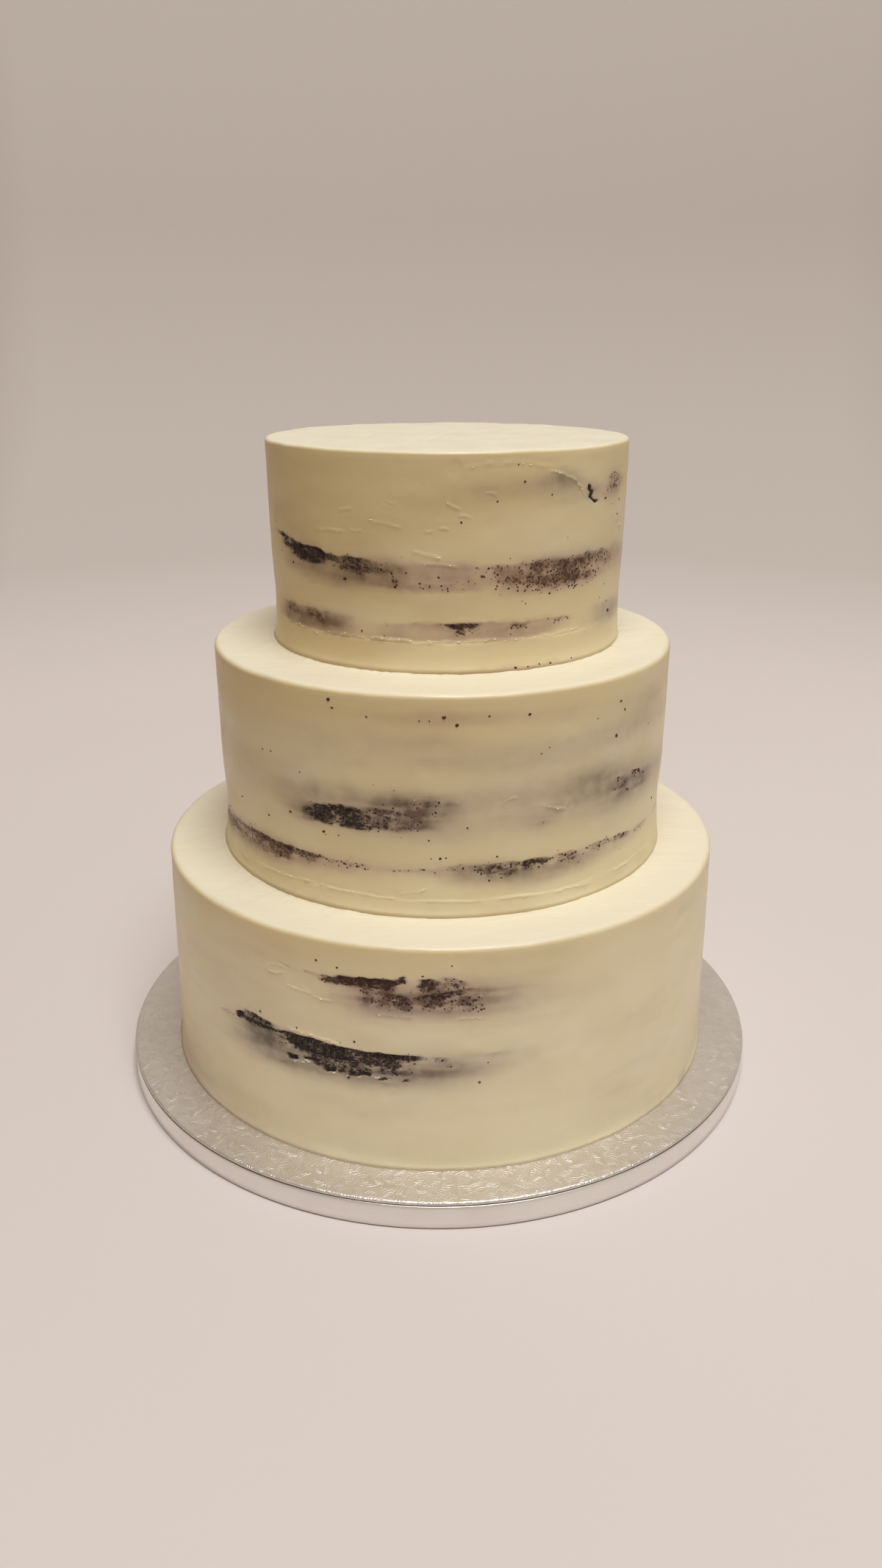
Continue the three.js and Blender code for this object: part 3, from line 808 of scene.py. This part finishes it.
def coat_surface(tier, angle, station):
    """The coat of icing over one tier. A station runs up the side, round the rim and in over the top."""
    side_end = tier.height - tier.rim
    turn = np.clip((station - side_end) / tier.rim, 0, math.pi / 2)
    height = np.clip(station, FOOT, side_end)
    inward = np.maximum(station - side_end - tier.rim * math.pi / 2, 0)
    radius = coat_radius(tier, height) - tier.rim * (1 - np.cos(turn)) - inward
    side = inward == 0
    outward, veil, bare, warm = (np.zeros_like(station) for _ in range(4))
    outward[side], veil[side], bare[side], warm[side] = side_relief(tier, angle[side], height[side])
    raised = np.zeros_like(station)
    top = turn > 0
    flat = around(tier, angle[top], radius[top], tier.height)
    settled = smooth_step(0, 9, inward[top])
    raised[top] = top_relief(tier, flat) * settled + rim_wobble(tier, angle[top]) * (1 - settled)
    radius = radius + outward * np.cos(turn)
    height = height + (tier.rim + raised) * np.sin(turn)
    ceiling = tier.height - COAT_TOP
    for ring, (share, level) in enumerate(((1, FOOT), (1, ceiling), (0.5, ceiling)), 1):
        here = np.abs(FOOT - station - ring) < 0.5
        radius[here], height[here] = stack_radius(tier) * share, level
    # Painted shade: the side is painted yellower and darker than the top, most close under the rim where less
    # light reaches it, most at the front left, and least at the right where the light falls.
    shade_under_rim = np.exp(-np.maximum(side_end - station, 0) / PAINTED_SHADE_DEPTH)
    shade_under_rim = shade_under_rim * (0.6 + 0.3 * np.cos(angle + math.radians(40)))
    uneven = 1 + 0.5 * value_noise(around(tier, angle, radius, height), (30, 30, 12), 25)
    less_shade_right = 1 - 0.35 * bell(np.degrees(angle), 52, 34)
    golden = np.clip((tier.golden * uneven + shade_under_rim) * less_shade_right, 0, 1) * np.cos(turn)
    values = {"veil": veil, "crumb": bare, "warm": warm, "golden": golden, "level": np.sin(turn)}
    return around(tier, angle, radius, height), values


def covered_radius(tier):
    """Within what radius a tier's top is covered all round by the next tier."""
    upper = tier_above(tier)
    if upper is None:
        return 0
    return upper.foot_radius - math.dist(tier.centre, upper.centre)


def icing(tier):
    side_end = tier.height - tier.rim
    rim_end = side_end + tier.rim * math.pi / 2
    end = rim_end + coat_radius(tier, side_end) - tier.rim
    shown = end - max(covered_radius(tier) - 3, 1)
    stations = [FOOT - ring for ring in range(INSIDE, 0, -1)]
    stations += list(np.linspace(FOOT, side_end, round(side_end / CELL) + 1))
    stations += list(np.linspace(side_end, rim_end, RIM_STEPS + 1)[1:])
    stations += list(np.linspace(rim_end, shown, round((shown - rim_end) / TOP_CELL))[1:])
    stations += list(np.linspace(shown, end - 1, round((end - 1 - shown) / COVERED_CELL) + 1)[1:])
    stations = np.array(stations)
    columns = in_threes(TAU * tier.foot_radius, CELL)

    angle, station = net_places(stations, columns)
    height = np.clip(station, FOOT, side_end)
    inward = np.maximum(station - rim_end, 0)
    _, bare, _ = scraped(tier, angle, height)
    over_top = around(tier, angle, coat_radius(tier, side_end) - tier.rim - inward, tier.height)
    away, turned = next_foot(tier, over_top)
    on_side = (station > FOOT) & (station <= side_end)
    middle, half = NEAR_FOOT
    on_top = (inward > 0) & (np.abs(away - middle) < half) & (np.abs(turned) < 95)
    busy = on_side & ((bare > FINE_FROM) | near_ridge(tier, np.degrees(angle), height)) | on_top
    split = cells_near(busy)
    split[:INSIDE] = False
    piece = skin(
        f"{tier.name}_icing_coat", stations, columns, lambda a, s: coat_surface(tier, a, s), split=split
    )
    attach(piece, "root")
    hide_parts(f"{tier.name}_icing")
    return piece


def foot_smear(tier, angle, height):
    """Icing dragged into the corner under a tier, more of it at the back left than the front right."""
    foot = around(tier, angle, tier.foot_radius, 0 * height)
    amount = 0.5 + 0.5 * np.cos(angle + math.radians(60)) + 0.35 * layered_noise(foot, 18, 91, 2)
    return np.clip(amount, 0, 1.4) * 0.9 * np.clip(1 - height / 2.6, 0, 1) ** 2.2


# Sponge

CRUMB_CELL = 1.8
FINE_CRUMB_FROM = 0.4  # the sponge's net is split where more crumb than this shows
CRUMB_FROM = 0.05  # less crumb than this lies flat under the icing


def sponge_layer(tier, layer):
    """One sponge disc: smooth where icing hides it, and true crumb where the icing is scraped thin."""
    node = f"{tier.name}_{layer}"
    low, high = (corner.z / MM - tier.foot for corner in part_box(node))
    inner = stack_radius(tier) - GAP

    def form(angle, station):
        height = np.clip(station, low, high)
        flat = around(tier, angle, coat_radius(tier, height), height)
        relief, veil, bare, warm = side_relief(tier, angle, height)
        stand = crumb_stand(bare, crumb(flat))
        shown = coat_radius(tier, height) + relief + stand
        radius = np.where(bare > CRUMB_FROM, np.maximum(shown, inner), inner)
        radius = inner + (radius - inner) * smooth_step(0, 0.8, np.minimum(height - low, high - height))
        radius = radius * (1 - 0.25 * np.abs(station - height))
        hidden = smooth_step(-0.6, -1.2, stand)
        values = {"veil": veil, "crumb": bare, "warm": warm}
        values = {key: value + (1 - value) * hidden for key, value in values.items()}
        return around(tier, angle, radius, height), values

    side = np.linspace(low, high, round((high - low) / CRUMB_CELL) + 1)
    stations = np.concatenate([[low - 2], side, [high + 2]])
    columns = in_threes(TAU * inner, CRUMB_CELL)
    angle, station = net_places(stations, columns)
    _, bare, _ = scraped(tier, angle, np.clip(station, low, high))
    split = cells_near(bare > FINE_CRUMB_FROM)
    split[0] = split[-1] = False
    piece = skin(f"{tier.name}_{layer}_crumb", stations, columns, form, split=split)
    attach(piece, "root")
    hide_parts(node)
    return piece


# Loose crumbs and torn flecks of icing

STREWN_FROM = 0.25  # strokes with less bare crumb than this have no crumbs strewn along them
STREWN = 0.11  # strewn crumbs for each mm of a stroke
FLECKS = 0.9  # torn flecks for each mm of a ridge and mm of its height
CRUMB_SUNK = 0.76  # how much of a crumb's thickness is pressed into the icing
FLECK_SUNK = 0.62
CRUMB_SEED = 100
FLECK_SEED = 200


def rough_lump(rng):
    """A small irregular lump of unit size, as its vertices and faces."""
    shape = bmesh.new()
    bmesh.ops.create_icosphere(shape, subdivisions=2, radius=0.5)
    vertices = np.array([vertex.co[:] for vertex in shape.verts])
    faces = np.array([[vertex.index for vertex in face.verts] for face in shape.faces])
    shape.free()
    push = 1 + 0.38 * layered_noise(vertices + rng.uniform(0, 50, 3), 0.42, 95, 2)
    return vertices * push[:, None], faces


def laid_lump(tier, speck, lump, sunk):
    """Angles, heights and distances out of the icing of a lump that is sunk by a share of its thickness."""
    slant = math.radians(speck.slant)
    wide, tall = lump[:, 0] * speck.length, lump[:, 1] * speck.tall
    across = wide * math.cos(slant) - tall * math.sin(slant)
    upward = wide * math.sin(slant) + tall * math.cos(slant)
    thick = 0.75 * min(speck.length, speck.tall) + 0.15
    out = (lump[:, 2] + 0.5 - sunk) * thick
    return math.radians(speck.angle) + across / tier.foot_radius, speck.height + upward, out


def lumps(name, tier, specks, rng, sunk):
    """Separate lumps stuck to a tier's side, front and mirrored back, in one mesh."""
    turned = [speck._replace(angle=tier.mirror - speck.angle, slant=-speck.slant) for speck in specks]
    laid, corners = [], []
    count = 0
    for speck in specks + turned:
        lump, faces = rough_lump(rng)
        laid.append(laid_lump(tier, speck, lump, sunk))
        corners.append(faces + count)
        count += len(lump)
    angle, height, out = (np.concatenate(part) for part in zip(*laid))
    corners = np.concatenate(corners)
    out = coat_radius(tier, height) + side_relief(tier, angle, height)[0] + out
    points = around(tier, angle, out, height)
    piece = build_mesh(name, points, corners.ravel(), np.full(len(corners), 3))
    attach(piece, "root")
    return piece


def length_round(tier, mark):
    """How long a stroke or ridge is round its tier, in mm."""
    return (mark.end - mark.start) / 360 * TAU * tier.foot_radius


def scattered_specks(tier, rng):
    """More crumbs than those listed, strewn thinly near the bared patches."""
    made = []
    for stroke in tier.strokes:
        if stroke.crumb < STREWN_FROM:
            continue
        length = length_round(tier, stroke)
        for _ in range(int(length * STREWN)):
            u = rng.uniform(-0.05, 1.05)
            away = rng.normal(0, stroke.width * 0.55 + 0.8)
            size = 0.3 + 0.5 * rng.random() ** 2
            place = angle_at(stroke, u), height_at(stroke, u) + away
            made.append(Speck(*place, size * rng.uniform(1, 2), size, rng.uniform(-60, 60)))
    return made


def loose_crumbs(tier):
    """Every separate crumb stuck to one tier's icing."""
    rng = np.random.default_rng(CRUMB_SEED + TIERS.index(tier))
    specks = tier.specks + scattered_specks(tier, rng)
    piece = lumps(f"{tier.name}_loose_crumbs", tier, specks, rng, CRUMB_SUNK)
    return piece


def torn_flecks(tier):
    """Small bits of icing torn up along the scraper's ridges."""
    rng = np.random.default_rng(FLECK_SEED + TIERS.index(tier))
    made = []
    for ridge in RIDGES[tier.name]:
        length = length_round(tier, ridge)
        for _ in range(int(length * ridge.tall * FLECKS)):
            u = rng.uniform(0.03, 0.97)
            lean = math.degrees(math.atan2(ridge.right - ridge.left + 4 * ridge.bow * (1 - 2 * u), length))
            long, tall = 0.5 + 1.6 * rng.random() ** 2, rng.uniform(0.28, 0.5)
            height = ridge_line(ridge, u) + rng.normal(0, 0.3)
            made.append(Speck(angle_at(ridge, u), height, long, tall, lean + rng.normal(0, 12)))
    piece = lumps(f"{tier.name}_icing_flecks", tier, made, rng, FLECK_SUNK)
    return piece


# Drum

DRUM_COLUMNS = 720


def drum_sizes():
    _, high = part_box("cake_drum")
    foot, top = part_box("drum_edge_band")
    return {"radius": top.x / MM, "height": high.z / MM, "band_foot": foot.z / MM, "band_top": top.z / MM}


def turned_about(angle, radius, height):
    return np.stack([radius * np.sin(angle), -radius * np.cos(angle), height], axis=-1)


def drum_board(sizes):
    """The foil-covered board: flat foil turned over a soft shoulder that tucks behind the edge strip."""
    top, radius, under = sizes["height"], sizes["radius"], sizes["band_top"]
    lip = radius - 0.35
    side = radius - 0.95
    shoulder = 1.0
    profile = [(1.0, 0.0), (side - 0.25, 0.0), (side, 0.25), (side, under - 0.2), (lip - 0.25, under + 0.22)]
    for turn in np.linspace(0, math.pi / 2, 9):
        profile.append((lip - shoulder * (1 - math.cos(turn)), top - shoulder * (1 - math.sin(turn))))
    profile += [(lip - shoulder - inward, top) for inward in (1.5, 4, 8, 13, 18, 24, 30, 60, 120)]

    def form(angle, station):
        r, z = place_on(profile, station)
        slack = 0.05 * value_noise(turned_about(angle, r, z), 22, 3) - 0.06
        pull = smooth_step(radius - 40, radius - 3, r) * smooth_step(under, top, z)
        return turned_about(angle, r, z + slack * pull), {}

    piece = skin("drum_foil_board", stations_of(profile), DRUM_COLUMNS, form)
    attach(piece, "root")
    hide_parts("cake_drum")
    return piece


def drum_band(sizes):
    """The smooth strip round the board's edge, glued on by hand and so very slightly wavy."""
    outer, foot, top = sizes["radius"] - 0.03, sizes["band_foot"], sizes["band_top"]
    soft, thick, inset = 0.15, 0.5, 3.5
    profile = [
        (outer - thick, foot), (outer - soft, foot), (outer, foot + soft), (outer, foot + inset),
        (outer, top - inset), (outer, top - soft), (outer - soft, top), (outer - thick, top),
        (outer - thick, foot),
    ]

    def form(angle, station):
        r, z = place_on(profile, station)
        flat = turned_about(angle, r, z)
        ease = smooth_step(foot, foot + 2, z)
        r = r + (0.05 * value_noise(flat, (24, 24, 9), 7) - 0.05) * ease
        z = z + (0.10 * value_noise(flat, (30, 30, 40), 8) - 0.10) * ease
        return turned_about(angle, r, z), {}

    piece = skin("drum_edge_strip", stations_of(profile), DRUM_COLUMNS, form, ring=True)
    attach(piece, "root")
    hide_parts("drum_edge_band")
    return piece


def stations_of(profile):
    """How far along a profile each of its corners lies."""
    steps = np.hypot(*np.diff(np.array(profile), axis=0).T)
    return np.concatenate([[0], np.cumsum(steps)])


def place_on(profile, station):
    """Radius and height at places along a profile."""
    stations = stations_of(profile)
    return [np.interp(station, stations, corners) for corners in np.array(profile).T]


# Materials

class Value:
    """A number at each place of a material, to reckon with like any other."""

    def __init__(self, shader, socket):
        self.shader = shader
        self.socket = socket

    def __add__(self, other):
        return self.shader.math("ADD", self, other)

    def __sub__(self, other):
        return self.shader.math("SUBTRACT", self, other)

    def __rsub__(self, other):
        return self.shader.math("SUBTRACT", other, self)

    def __mul__(self, other):
        return self.shader.math("MULTIPLY", self, other)

    def over(self, other):
        """The larger of two."""
        return self.shader.math("MAXIMUM", self, other)

    def ranged(self, low, high, to_low=0.0, to_high=1.0):
        """Low to high spread over another range, and held inside it."""
        inputs = {"Value": self, "From Min": low, "From Max": high, "To Min": to_low, "To Max": to_high}
        return Value(self.shader, self.shader.add("ShaderNodeMapRange", inputs).outputs["Result"])


class Shader:
    """A node material, and short ways to add to it."""

    def __init__(self, name):
        self.material = bpy.data.materials.new(name)
        self.material.use_nodes = True
        self.tree = self.material.node_tree
        self.surface = self.tree.nodes["Principled BSDF"]
        self.place = self.tree.nodes.new("ShaderNodeTexCoord").outputs["Object"]

    def put(self, socket, value):
        if isinstance(value, Value):
            value = value.socket
        if isinstance(value, bpy.types.NodeSocket):
            self.tree.links.new(value, socket)
        elif isinstance(value, tuple) and socket.type == "RGBA":
            socket.default_value = (*value, 1.0)
        else:
            socket.default_value = value

    def add(self, kind, inputs, **settings):
        """A new node, with its settings and what goes into its sockets, by name or number."""
        made = self.tree.nodes.new(kind)
        for key, value in settings.items():
            setattr(made, key, value)
        for key, value in inputs.items():
            self.put(made.inputs[key], value)
        return made

    def set(self, **values):
        """Sets the surface's own sockets, underscores standing for the spaces in their names."""
        for key, value in values.items():
            self.put(self.surface.inputs[key.replace("_", " ")], value)

    def attribute(self, name):
        return Value(self, self.add("ShaderNodeAttribute", {}, attribute_name=name).outputs["Fac"])

    def math(self, operation, first, second=0.0):
        return Value(self, self.add("ShaderNodeMath", {0: first, 1: second}, operation=operation).outputs[0])

    def vector_math(self, operation, **inputs):
        """Vector sums; first and second are the two vectors."""
        numbers = {"first": 0, "second": 1}
        inputs = {numbers.get(key, key): value for key, value in inputs.items()}
        return self.add("ShaderNodeVectorMath", inputs, operation=operation).outputs[0]

    def parts(self, value, kind="XYZ"):
        """The three numbers of a vector or a colour."""
        made = self.add(f"ShaderNodeSeparate{kind}", {0: value})
        return [Value(self, socket) for socket in made.outputs]

    def scaled(self, by):
        return self.add("ShaderNodeMapping", {"Vector": self.place, "Scale": by}).outputs["Vector"]

    def noise(self, scale, detail=2.0, rough=0.5, twist=0.0):
        """Noise from 0 to 1, its scale one number or one for each axis."""
        place = self.place
        if isinstance(scale, tuple):
            place, scale = self.scaled(scale), 1.0
        inputs = {"Vector": place, "Scale": scale, "Detail": detail, "Roughness": rough, "Distortion": twist}
        return Value(self, self.add("ShaderNodeTexNoise", inputs).outputs["Fac"])

    def mix(self, share, first, second, blend="MIX"):
        inputs = {"Factor": share, 6: first, 7: second}
        return self.add("ShaderNodeMix", inputs, data_type="RGBA", blend_type=blend).outputs[2]

    def bump(self, height, distance, strength):
        made = self.add("ShaderNodeBump", {"Height": height, "Distance": distance, "Strength": strength})
        self.put(self.surface.inputs["Normal"], made.outputs["Normal"])


CREAM = (0.915, 0.825, 0.585)
CREAM_DEEP = (0.89, 0.785, 0.53)
# painted shade: the darker, yellower cream painted on the sides where less light falls
CREAM_PAINTED_SHADE = (0.79, 0.635, 0.36)
CREAM_PAINTED_LIGHT_TOP = (0.85, 0.785, 0.60)  # painted light: the tops' cream is painted less yellow than the sides', for the light and sheen that fall on them
# painted shade in the spatula grooves on the tops
CREAM_GROOVE_SHADE = (0.79, 0.70, 0.485)
CLEAR = (1.0, 1.0, 1.0)
THIN_GREY = (0.70, 0.68, 0.735)  # what thin icing leaves of the cream's colour
THIN_MAUVE = (0.70, 0.61, 0.70)
DEEP_GREY = (0.19, 0.165, 0.19)  # and what the thinnest leaves of it
DEEP_MAUVE = (0.21, 0.135, 0.125)
CRUMB_DARK = (0.014, 0.009, 0.007)
CRUMB_WARM = (0.120, 0.044, 0.026)
CRUMB_DUST = (0.130, 0.092, 0.072)
LOOSE_CRUMB = (0.14, 0.055, 0.035)

GRAIN_SCALE = 840  # single grains of crumb, about 1.2 mm apart
BLOT_SCALE = (560, 560, 820)  # the blots of crumb, flatter than they are wide


def scraped_colour(shader, cream, more=0.0):
    """Cream, greyed where it is thin, and broken by blots and grains of crumb where it is scraped bare.

    Returns the colour and how much of each place is crumb; more raises that share everywhere.
    """
    veil, bare, warm = (shader.attribute(name) for name in ("veil", "crumb", "warm"))
    patches = shader.noise(190) - 0.5
    fine = shader.noise(1200, rough=0.6) - 0.5

    # Blots, which grow together as more crumb is bare
    cover = (patches * 0.6 + bare).ranged(0.1, 1.0, 0.285 + more, 0.645 + more) + warm * -0.105
    edge = shader.noise(BLOT_SCALE, 4, 0.65, 0.4) - 1.0 + cover
    blotted = edge.ranged(-0.015, 0.035) * bare.ranged(0.05, 0.2)

    # Separate grains, a chosen share of the cells
    cells = shader.add("ShaderNodeTexVoronoi", {"Vector": shader.place, "Scale": GRAIN_SCALE})
    chance = shader.parts(cells.outputs["Color"], "Color")
    chosen = bare.ranged(0.03, 0.6, 0.0, 0.9) * warm.ranged(0.0, 1.0, 0.35, 1.0)
    chosen = (chosen - chance[0]).ranged(0.0, 0.02)
    reach = fine * 0.9 + (chance[1] * 0.24 + Value(shader, cells.outputs["Distance"]))
    grains = reach.ranged(0.54, 0.38) * chosen

    # The cream's own colour, greyer where it is thin and close to the blots
    uneven = patches * (bare * 1.6 + 0.6) + fine * bare * 0.8
    near = edge.ranged(-0.16, 0.0, 0.0, 0.4) * bare
    thinned = veil * uneven + veil + near
    warmed = warm.over(near)
    tint = shader.mix(thinned.ranged(0.0, 0.45), CLEAR, shader.mix(warmed, THIN_GREY, THIN_MAUVE))
    tint = shader.mix(thinned.ranged(0.45, 1.0), tint, shader.mix(warmed, DEEP_GREY, DEEP_MAUVE))
    colour = shader.mix(1.0, cream, tint, blend="MULTIPLY")

    tone = shader.noise(800, 3).ranged(0.35, 0.65, 0.25, 1.0) * warm
    dusty = shader.noise(900, 3, 0.6).ranged(0.45, 0.70) * reach.ranged(0.38, 0.85)
    dusty = dusty * warm.ranged(0.0, 1.0, 1.0, 0.3)
    crumbs = shader.mix(dusty, shader.mix(tone, CRUMB_DARK, CRUMB_WARM), CRUMB_DUST)
    covered = blotted.over(grains)
    return shader.mix(covered, colour, crumbs), covered


def icing_material():
    shader = Shader("buttercream")
    level = shader.attribute("level")
    cream = shader.mix(shader.noise(38, 3).ranged(0.35, 0.65), CREAM, CREAM_DEEP)
    # painted shade: the sides are painted darker and yellower than the tops, most under the rims
    cream = shader.mix(shader.attribute("golden"), cream, CREAM_PAINTED_SHADE)
    # painted light: the tops are painted less yellow than the sides
    cream = shader.mix(level.ranged(0.5, 1.0), cream, CREAM_PAINTED_LIGHT_TOP)
    # painted shade: the spatula streaks on the tops are painted darker where the bump below sinks them into
    # grooves
    streaks = shader.noise((13, 230, 13), 4, 0.6).ranged(0.42, 0.68, 0.0, 0.13) * level.ranged(0.7, 1.0)
    cream = shader.mix(streaks, cream, CREAM_GROOVE_SHADE)
    colour, specks = scraped_colour(shader, cream)
    rough = shader.noise(55).ranged(0.3, 0.7, 0.31, 0.44) + specks * 0.35
    shader.set(Base_Color=colour, Roughness=rough, Specular_IOR_Level=0.45)
    swept = (streaks * -2.5 + shader.noise((45, 520, 45), 3)) * level
    lines = swept * 3.6 + shader.noise((260, 260, 1500)) * 0.4
    height = lines * 0.7 + shader.noise(900) * 0.3 + specks * 1.6
    shader.bump(height, 0.00008, 0.9)
    return shader.material


def crumb_material():
    shader = Shader("chocolate_crumb")
    colour, specks = scraped_colour(shader, CREAM, more=0.02)
    shader.set(Base_Color=colour, Roughness=0.8, Specular_IOR_Level=0.25)
    shader.bump(shader.noise(2200, 3) + specks * 0.5, 0.00025, 0.7)
    return shader.material


def loose_crumb_material():
    shader = Shader("loose_crumb")
    colour = shader.mix(shader.noise(500, 3).ranged(0.35, 0.6), CRUMB_DARK, LOOSE_CRUMB)
    shader.set(Base_Color=colour, Roughness=0.7, Specular_IOR_Level=0.3)
    shader.bump(shader.noise(2200, 3), 0.0002, 0.6)
    return shader.material


def filling_material(name):
    shader = Shader(name)
    colour = shader.mix(shader.noise(90, 3).ranged(0.3, 0.7), CREAM, CREAM_DEEP)
    shader.set(Base_Color=colour, Roughness=0.5)
    shader.bump(shader.noise(400), 0.0002, 0.4)
    return shader.material


def leaf_height(shader, scale, shift):
    """Small embossed sprigs, one for each cell of a scattered grid, each turned its own way."""
    waves = shader.add("ShaderNodeTexNoise", {"Vector": shader.place, "Scale": 260}).outputs["Color"]
    wavy = shader.vector_math("SCALE", first=waves, Scale=0.16)
    spread = shader.vector_math("ADD", first=shader.scaled((scale, scale, scale)), second=wavy)
    spread = shader.vector_math("ADD", first=spread, second=(shift, 2 * shift, 0))
    inputs = {"Vector": spread, "Scale": 1.0, "Randomness": 0.85}
    cells = shader.add("ShaderNodeTexVoronoi", inputs, voronoi_dimensions="2D")
    away = shader.vector_math("SUBTRACT", first=spread, second=cells.outputs["Position"])
    turn = shader.parts(cells.outputs["Color"], "Color")[0] * TAU
    spun = shader.add("ShaderNodeVectorRotate", {"Vector": away, "Angle": turn}, rotation_type="Z_AXIS")
    aside, along, _ = shader.parts(spun.outputs[0])
    squared = along * along
    across = shader.math("ABSOLUTE", aside - squared * 0.35)
    blade = (0.36 - squared * 1.3 - across).ranged(-0.04, 0.10)
    leaflets = shader.math("SINE", along * 27.0 + across * -30.0).ranged(-0.8, 0.9)
    stem = across.ranged(0.0, 0.05, 0.7, 0.0)
    return (blade * leaflets).over(stem)


def foil_shader(name, tone_scale, colours, gloss_scale, rough, metallic):
    """Foil whose colour and gloss drift a little from place to place."""
    shader = Shader(name)
    colour = shader.mix(shader.noise(tone_scale, 3).ranged(0.3, 0.7), *colours)
    gloss = shader.noise(gloss_scale).ranged(0.3, 0.7, *rough)
    shader.set(Base_Color=colour, Metallic=metallic, Roughness=gloss)
    return shader


def foil_material():
    colours = (0.80, 0.755, 0.70), (0.74, 0.695, 0.64)
    shader = foil_shader("embossed_foil", 30, colours, 160, (0.36, 0.48), 0.78)
    leaves = leaf_height(shader, 118, 0.0).over(leaf_height(shader, 165, 3.7))
    shader.bump(leaves + shader.noise(1000, 3) * 0.9, 0.00011, 0.9)
    return shader.material


def strip_material():
    colours = (0.88, 0.85, 0.82), (0.83, 0.79, 0.76)
    shader = foil_shader("smooth_foil_strip", 24, colours, 90, (0.28, 0.38), 0.85)
    shader.bump(shader.noise((60, 60, 200)), 0.00008, 0.5)
    return shader.material


def paint(piece, material):
    piece.data.materials.clear()
    piece.data.materials.append(material)


# The stage

FLOOR_REACH = 0.56  # where the floor starts to curve up
SWEEP = 0.46  # radius of that curve
WALL_HEIGHT = 1.5
BACKDROP_SIDES = 96
CURVE_STEPS = 16
FLOOR_TONE = (0.725, 0.66, 0.63)
# painted light: the floor is painted lighter behind the cake, where the cake's shadow and distance leave less
# light
FLOOR_PAINTED_LIGHT_BEHIND = (0.77, 0.70, 0.665)
WALL_TONE = (0.60, 0.54, 0.50)
ROOM_SHADE_LEFT = (0.27, 0.21, 0.14)  # painted shade: the dim room at the sides and in front of the cake, warmer at the left
ROOM_SHADE_RIGHT = (0.43, 0.39, 0.33)

LIGHT_PLACE = (0.24, -0.68, 2.38)
LIGHT_TARGET = (0.0, 0.0, 0.2)
LIGHT_SIZE = 1.3
LIGHT_POWER = 46.0
ROOM_LIGHT = (1.0, 0.93, 0.84, 1.0)
ROOM_STRENGTH = 0.15

CAMERA_PLACE = (0.0010, -0.5264, 0.33305)
CAMERA_TILT = 20.93  # degrees down from level
LENS = 27.0  # mm on a full-frame sensor


def backdrop():
    """A pale floor that sweeps up into a plain wall all round, painted lighter on the floor behind the cake
    as painted light, and dim away from the wall behind the cake as painted shade.
    """
    profile = [(0.0, 0.0), (0.2, 0.0), (0.4, 0.0), (FLOOR_REACH, 0.0)]
    for step in range(1, CURVE_STEPS + 1):
        turn = step / CURVE_STEPS * math.pi / 2
        profile.append((FLOOR_REACH + SWEEP * math.sin(turn), SWEEP * (1 - math.cos(turn))))
    profile.append((FLOOR_REACH + SWEEP, WALL_HEIGHT))
    turns = [side / BACKDROP_SIDES * TAU for side in range(BACKDROP_SIDES)]
    vertices = [(r * math.sin(turn), -r * math.cos(turn), z) for r, z in profile for turn in turns]
    faces = []
    for low in range(0, len(vertices) - BACKDROP_SIDES, BACKDROP_SIDES):
        high = low + BACKDROP_SIDES
        for side in range(BACKDROP_SIDES):
            after = (side + 1) % BACKDROP_SIDES
            faces.append((low + side, low + after, high + after, high + side))
    mesh = bpy.data.meshes.new("backdrop")
    mesh.from_pydata(vertices, [], faces)
    mesh.shade_smooth()
    made = link("backdrop", mesh)

    shader = Shader("pale_backdrop")
    x, y, z = shader.parts(shader.place)
    aside = x * 0.8
    ahead = shader.math("MINIMUM", y, 0.0)
    away = shader.math("SQRT", aside * aside + ahead * ahead)
    # painted light: the floor is lighter towards the back
    floor = shader.mix(y.ranged(-0.05, 0.35), FLOOR_TONE, FLOOR_PAINTED_LIGHT_BEHIND)
    paper = shader.mix(z.ranged(0.0, 0.10), floor, WALL_TONE)
    # painted shade: away from the wall behind the cake the backdrop is painted as a dim room, warmer at the
    # left
    room = shader.mix(x.ranged(-0.5, 0.5), ROOM_SHADE_LEFT, ROOM_SHADE_RIGHT)
    shader.set(Base_Color=shader.mix(away.ranged(0.36, 0.62), paper, room), Roughness=0.9)
    paint(made, shader.material)


def lights():
    light = bpy.data.lights.new("overhead", "AREA")
    light.shape = "DISK"
    light.size = LIGHT_SIZE
    light.energy = LIGHT_POWER
    made = link("overhead", light)
    made.location = LIGHT_PLACE
    made.rotation_mode = "QUATERNION"
    made.rotation_quaternion = (Vector(LIGHT_TARGET) - Vector(LIGHT_PLACE)).to_track_quat("-Z", "Y")
    world = bpy.data.worlds.new("room")
    bpy.context.scene.world = world
    world.use_nodes = True
    background = world.node_tree.nodes["Background"]
    background.inputs["Color"].default_value = ROOM_LIGHT
    background.inputs["Strength"].default_value = ROOM_STRENGTH


def camera():
    """The photograph's view: a phone's lens, looking down at the front."""
    data = bpy.data.cameras.new("view")
    data.lens = LENS
    data.sensor_width = 36.0
    data.sensor_fit = "AUTO"
    data.clip_start = 0.01
    data.clip_end = 20.0
    made = link("view", data)
    made.location = CAMERA_PLACE
    made.rotation_euler = (math.radians(90 - CAMERA_TILT), 0.0, 0.0)
    bpy.context.scene.camera = made


# The whole scene

camera()
lights()
backdrop()
bpy.context.scene.view_settings.view_transform = "Standard"

icing_look = icing_material()
crumb_look = crumb_material()
loose_look = loose_crumb_material()
filling_look = filling_material("cream_filling")
fleck_look = filling_material("torn_buttercream")

for tier in TIERS:
    paint(icing(tier), icing_look)
    for sponge in SPONGES:
        paint(sponge_layer(tier, sponge), crumb_look)
    for filling in FILLINGS:
        paint(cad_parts[f"{tier.name}_{filling}"], filling_look)
    paint(loose_crumbs(tier), loose_look)
    paint(torn_flecks(tier), fleck_look)

sizes = drum_sizes()
paint(drum_board(sizes), foil_material())
paint(drum_band(sizes), strip_material())
